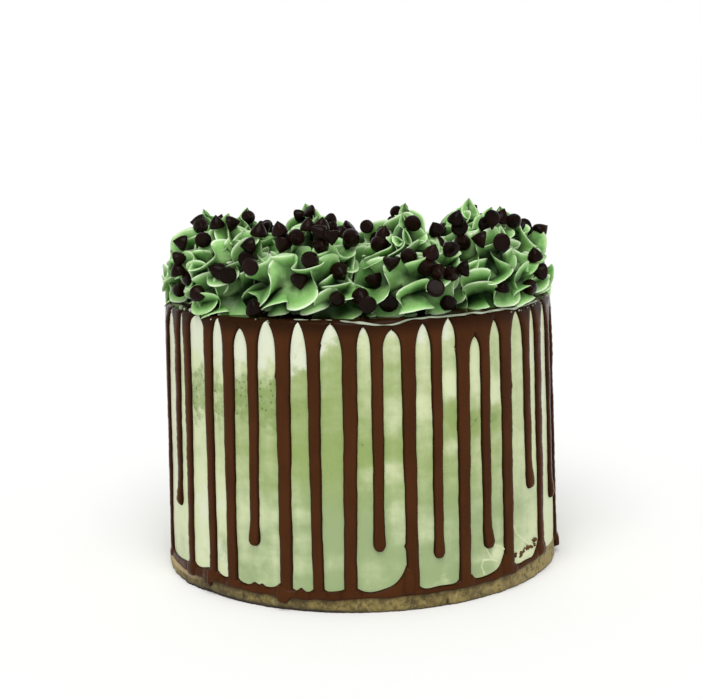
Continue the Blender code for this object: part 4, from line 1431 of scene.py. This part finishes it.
# %% Chips of the front
SEEN_REACH = 96.0 * MM
MARCH_LIMIT = 106.0 * MM
MARCH_STEPS = 60
HIGHEST_SEEN = 44.5
SEEN_SINK = 2.2 * MM
SEEN_TOUCH = 7.2 * MM
LOWER_TRIES = (0, 1, 2, 3, 4, 5, 6, 8, 10)
SEEN_CHIPS = [
    (-63, 44, "l"), (-48, 46, "u"), (-61, 40, "t"), (-41, 44, "r"), (-80, 32, "l"), (-55, 36, "b"),
    (-70, 27, "r"), (-73, 21, "u"), (-64, 17, "t"), (-80, 9, "t"), (-56, 10, "t"), (-47, 22, "l"),
    (-42, 20, "b"), (-35, 27, "b"), (-32, 25, "b"), (-34, 34, "l"), (-31, 42, "u"), (-22, 46, "u"),
    (-23, 43, "u"), (-14, 46, "u"), (-10, 45, "u"), (-18, 39, "t"), (-22, 35, "d"), (-10, 35, "t"),
    (-7, 39, "d"), (-13, 29, "t"), (-17, 18, "d"), (-5, 22, "t"), (-6, 11, "t"), (-2, 44, "b"),
    (-1, 38, "t"), (-32, 5, "u"), (-11, 42, "l"), (1, 10, "t"), (8, 39, "u"), (7, 34, "t"),
    (17, 46, "b"), (24, 46, "u"), (10, 26, "d"), (15, 29, "t"), (22, 31, "u"), (20, 24, "t"),
    (24, 21, "t"), (28, 20, "t"), (28, 32, "b"), (23, 13, "b"), (27, 6, "u"), (5, 17, "d"),
    (3, 8, "b"), (9, 7, "b"), (33, 39, "b"), (34, 32, "t"), (32, 22, "l"), (32, 45, "u"),
    (43, 41, "b"), (40, 34, "l"), (51, 46, "u"), (58, 42, "t"), (49, 32, "b"), (49, 11, "u"),
    (72, 24, "u"), (78, 15, "l"), (66, 8, "t"), (46, 44, "b"),
]
FACINGS = {"t": (0.0, -1.0, 0.1), "b": (0.0, 1.0, 0.0), "u": (0.0, -0.3, 1.0),
           "d": (0.0, -0.4, -1.0), "l": (-1.0, -0.2, 0.2), "r": (1.0, -0.2, 0.2)}


def resting_place(skin, centres, across, height):
    """Where a chip coming in level from the front first rests on cream or on another chip."""
    start = -math.sqrt(MARCH_LIMIT ** 2 - across ** 2)
    for step in range(MARCH_STEPS):
        centre = Vector((across, start + step * MM, height))
        gap = nearest(centre, centres)
        if gap < CHIP_SPACING:
            return None
        if gap < SEEN_TOUCH or skin.find_nearest(centre)[3] < SEEN_SINK:
            return centre
    return None


def seen_chips():
    draw = random.Random(21)
    skin = skin_of(swirls)
    spots, centres = [], []
    for degrees, level, letter in SEEN_CHIPS:
        across = SEEN_REACH * math.sin(math.radians(degrees))
        tries = [max(min(level, HIGHEST_SEEN) - lower, CHIP_CLEARANCE / MM) for lower in LOWER_TRIES]
        places = (resting_place(skin, centres, across, CAP_TOP + height * MM) for height in tries)
        centre = next((spot for spot in places if spot), None)
        if centre:
            centres.append(centre)
            axis = Vector(FACINGS[letter]) + scatter(draw, 0.25)
            spots.append(chip_matrix(centre, axis.normalized()))
    print(len(spots), "of the", len(SEEN_CHIPS), "chips seen at the front found a place")
    return spots


def build_chips():
    draw = random.Random(9)
    spots = hidden_chips + seen_chips() + chips_of_centre()
    chips = []
    for spot in spots:
        grow = draw.uniform(0.93, 1.06)
        points = chip_points(draw.uniform(0.0, 1.3), draw.uniform(0.0, 6.28))
        chips.append(([spot @ (Vector(point) * grow) for point in points], CHIP_FACES))
    finish = chocolate_finish("dark_chocolate", paint(14, 8, 4), paint(30, 15, 10), 0.45, 0.06)
    print(len(spots), "chips")
    return make_piece("chocolate_chips", *joined(chips), finish)


place(build_chips(), "chocolate")

# %% [markdown]
# ## Crumbs
#
# Dark crumbs were dragged along the top of the cream dab at the lower right. Each is a small
# lump: a rough ball whose points are pushed in and out at random.

# %% Crumbs on the cream dab
LUMP_ROWS = 6
LUMP_COLUMNS = 9
CRUMB_LINES = [
    ([(46.6, 18.6), (46.5, 16.2)], 9), ([(48.9, 17.4), (48.4, 14.6)], 14),
    ([(49.1, 16.6), (50.6, 17.9)], 12), ([(50.6, 18.2), (53.0, 18.3), (56.8, 17.5)], 24),
    ([(55.4, 20.4), (58.0, 19.8)], 15),
]


def lump(draw, centre, radius):
    """Points and faces of one rough ball, the faces counted from 0."""
    points = []
    for row in range(LUMP_ROWS):
        polar = math.pi * (row + 0.5) / LUMP_ROWS
        for column in range(LUMP_COLUMNS):
            angle = 2.0 * math.pi * column / LUMP_COLUMNS
            way = np.array([math.sin(polar) * math.cos(angle), math.sin(polar) * math.sin(angle),
                            math.cos(polar)])
            points.append(centre + radius * draw.uniform(0.75, 1.25) * way)
    return points, rope_faces(LUMP_ROWS, LUMP_COLUMNS)


def build_crumbs():
    draw = random.Random(12)
    lumps = []
    for line, count in CRUMB_LINES:
        for _ in range(count):
            spot = draw.uniform(0.0, len(line) - 1.001)
            (first, low), (second, high) = line[int(spot)], line[int(spot) + 1]
            share = spot - int(spot)
            azimuth = math.radians(first + (second - first) * share + draw.gauss(0.0, 0.15))
            height = (low + (high - low) * share + draw.gauss(0.0, 0.35)) * MM
            centre = wall_point(azimuth, 0.5 * MM, height)
            lumps.append(lump(draw, centre, draw.triangular(0.2, 0.95, 0.3) * MM))
    finish = chocolate_finish("crumb", paint(70, 44, 24), paint(104, 72, 40), 0.6, 0.1)
    return make_piece("crumbs", *joined(lumps), finish)


place(build_crumbs(), "chocolate")

# %% [markdown]
# ## Pale cream and a painted highlight on the rim
#
# Pale bits lie along the rim: one long thin curl, a few short ones and some flecks. The long
# curl and the flecks at the right of the front stand where the rim's rounded edge catches a
# bright line of light, so they are partly a painted highlight; the rest are scraps of pale
# buttercream. A curl is a closed tube lying on the chocolate, with a ragged width, that thins
# out to nothing at both ends. The flecks are the same rough balls as the crumbs.

# %% Rim curls and flecks
RIM_CURLS = [(-17.6, -13.4), (-12.7, -9.8), (-8.7, -6.8), (-4.8, 63.5), (108.0, 127.0),
             (150.0, 156.0), (-168.0, -141.0), (-112.0, -104.0)]
CURL_RUNS = [(-18, 0.4), (-10, -0.2), (-4, 1.2), (4, 2.5), (9, 2.5), (15, 1.3), (30, 1.0),
             (48, 1.3), (64, 0.8), (115, 2.0), (127, 0.8)]
CURL_HALF = 0.34
CURL_RISE = 0.28
CURL_SIDES = 8
CURL_STEP = 0.3
RIM_FLECKS = [
    (-61.5, 103.8, 146.3, 1.25), (-58.9, 104.0, 146.0, 0.8), (-55.2, 103.8, 146.2, 1.0),
    (-46.5, 104.6, 145.2, 0.5), (-45.4, 104.8, 145.0, 0.4), (-44.0, 105.5, 143.4, 0.4),
    (-28.4, 104.7, 145.1, 0.35), (-24.6, 105.2, 144.5, 0.55), (-24.2, 105.4, 143.7, 0.4),
    (46.6, 105.5, 142.9, 0.4), (50.3, 105.5, 143.0, 0.5), (51.4, 105.5, 142.7, 0.35),
    (54.8, 105.4, 143.4, 0.5), (58.3, 105.3, 143.7, 0.45), (60.3, 105.2, 144.1, 0.35),
    (170.0, 104.6, 145.2, 0.9), (-128.0, 104.8, 145.0, 0.7), (96.0, 104.6, 145.1, 0.6),
]


def curl(first, last):
    """A slender pale tube on the rounded rim, between two azimuths in degrees."""
    turns = np.arange(first, last, CURL_STEP)[:, None]
    azimuth = np.radians(turns)
    around = np.linspace(0.0, 2.0 * math.pi, CURL_SIDES, endpoint=False)
    from_end = np.minimum(turns - first, last - turns) + 0.05
    taper = np.sqrt(np.clip(from_end / 1.6, 0.0, 1.0))
    half = CURL_HALF * taper * (1.0 + 0.28 * unevenness(azimuth, 0.0, 61, 90, 0))
    rise = CURL_RISE * taper * (1.0 + 0.30 * unevenness(azimuth, 0.0, 62, 120, 0))
    run = along(azimuth, CURL_RUNS) + 0.16 * unevenness(azimuth, 0.0, 63, 60, 0)
    run = (run + half * np.cos(around)) * MM
    thickness = rim_thickness(run) + (rise * np.sin(around) - 0.05) * MM
    points = skin_point(np.broadcast_to(azimuth, run.shape), run, thickness)
    return points.reshape(-1, 3), turned_over(rope_faces(len(turns), CURL_SIDES))


def rim_cream_and_highlight_finish():
    finish = Finish("rim_cream_and_highlight", 0.5)
    cloud = finish.threshold(finish.noise(4.0 * MM), 0.35, 0.65)
    colour = finish.coats(paint(124, 134, 110), (cloud, paint(172, 182, 160)))
    return finish.complete(colour, finish.noise(0.7 * MM), 0.1 * MM)


def build_rim_cream_and_highlight():
    draw = random.Random(14)
    # The long curl along the front is partly a painted highlight on the rim's edge.
    parts = [curl(first, last) for first, last in RIM_CURLS]
    for degrees, reach, height, radius in RIM_FLECKS:
        azimuth = math.radians(degrees)
        centre = np.array([reach * math.sin(azimuth), -reach * math.cos(azimuth), height]) * MM
        parts.append(lump(draw, centre, radius * MM))
    return make_piece("rim_cream_and_highlight", *joined(parts), rim_cream_and_highlight_finish())


place(build_rim_cream_and_highlight(), "buttercream")

# %% [markdown]
# ## Floor and light
#
# The cake stands on a plain pale floor in soft studio light: a white world fills the shadows,
# dimmer overhead than near the horizon, and one large lamp from above the front gives the
# chocolate its sheen.

# %% Floor and light
FLOOR_REACH = 6.0
SKY_FADE = (0.12, 0.50)
SKY_STRENGTHS = (1.0, 0.45)
LAMP_STRENGTH = 2.2
LAMP_SPREAD = math.radians(50.0)
LAMP_WAY = Vector((0.03, 0.6, -1.0))


def build_floor():
    finish = Finish("pale_floor", 0.9)
    colour = finish.coats(paint(246, 246, 245), (finish.noise(400.0 * MM, 2.0), paint(250, 250, 249)))
    feed(finish.shader, {"Base Color": colour})
    corners = [(-1.0, -1.0, 0.0), (1.0, -1.0, 0.0), (1.0, 1.0, 0.0), (-1.0, 1.0, 0.0)]
    make_piece("floor", FLOOR_REACH * np.array(corners), [(0, 1, 2, 3)], finish.material)


def build_light():
    world = bpy.data.worlds.new("studio")
    world.use_nodes = True
    tree = world.node_tree
    way = add_node(tree, "ShaderNodeTexCoord", "Generated", {})
    upward = add_node(tree, "ShaderNodeSeparateXYZ", "Z", {"Vector": way})
    strength = add_node(tree, "ShaderNodeMapRange", "Result",
                        {"Value": upward, "From Min": SKY_FADE[0], "From Max": SKY_FADE[1],
                         "To Min": SKY_STRENGTHS[0], "To Max": SKY_STRENGTHS[1]})
    feed(tree.nodes["Background"], {"Color": (1.0, 1.0, 1.0, 1.0), "Strength": strength})
    bpy.context.scene.world = world
    lamp = bpy.data.lights.new("softbox", "SUN")
    lamp.energy = LAMP_STRENGTH
    lamp.angle = LAMP_SPREAD
    item = bpy.data.objects.new("softbox", lamp)
    bpy.context.scene.collection.objects.link(item)
    item.rotation_euler = LAMP_WAY.to_track_quat("-Z", "Y").to_euler()


build_floor()
build_light()
print("the lamp spreads", round(math.degrees(LAMP_SPREAD)), "degrees")

# %% [markdown]
# ## Camera
#
# The camera is about three quarters of a metre away, a little above the cake and looking
# slightly down. Its focal length is worked out in pixels of a picture 702 wide.

# %% Camera
CAMERA_PLACE = Vector((0.0, -736.4 * MM, 233.6 * MM))
CAMERA_PITCH = math.radians(9.19)
CAMERA_ROLL = math.radians(-1.47)
CAMERA_YAW = math.radians(-0.34)
FOCAL_PIXELS = 1339.0
IMAGE_WIDTH = 702.0
SENSOR_WIDTH = 36.0
NEAREST_SEEN = 0.01


def build_camera():
    forward = Vector((math.sin(CAMERA_YAW) * math.cos(CAMERA_PITCH),
                      math.cos(CAMERA_YAW) * math.cos(CAMERA_PITCH), -math.sin(CAMERA_PITCH)))
    level_right = forward.cross(Vector((0.0, 0.0, 1.0))).normalized()
    level_up = level_right.cross(forward)
    right = math.cos(CAMERA_ROLL) * level_right + math.sin(CAMERA_ROLL) * level_up
    up = -math.sin(CAMERA_ROLL) * level_right + math.cos(CAMERA_ROLL) * level_up
    camera = bpy.data.cameras.new("camera")
    camera.sensor_width = SENSOR_WIDTH
    camera.lens = FOCAL_PIXELS * SENSOR_WIDTH / IMAGE_WIDTH
    camera.clip_start = NEAREST_SEEN
    item = bpy.data.objects.new("camera", camera)
    bpy.context.scene.collection.objects.link(item)
    turn = Matrix((right, up, -forward)).transposed().to_4x4()
    item.matrix_world = Matrix.Translation(CAMERA_PLACE) @ turn
    bpy.context.scene.camera = item


build_camera()
bpy.context.scene.view_settings.view_transform = "Standard"
print("camera lens", round(bpy.context.scene.camera.data.lens, 1), "mm")
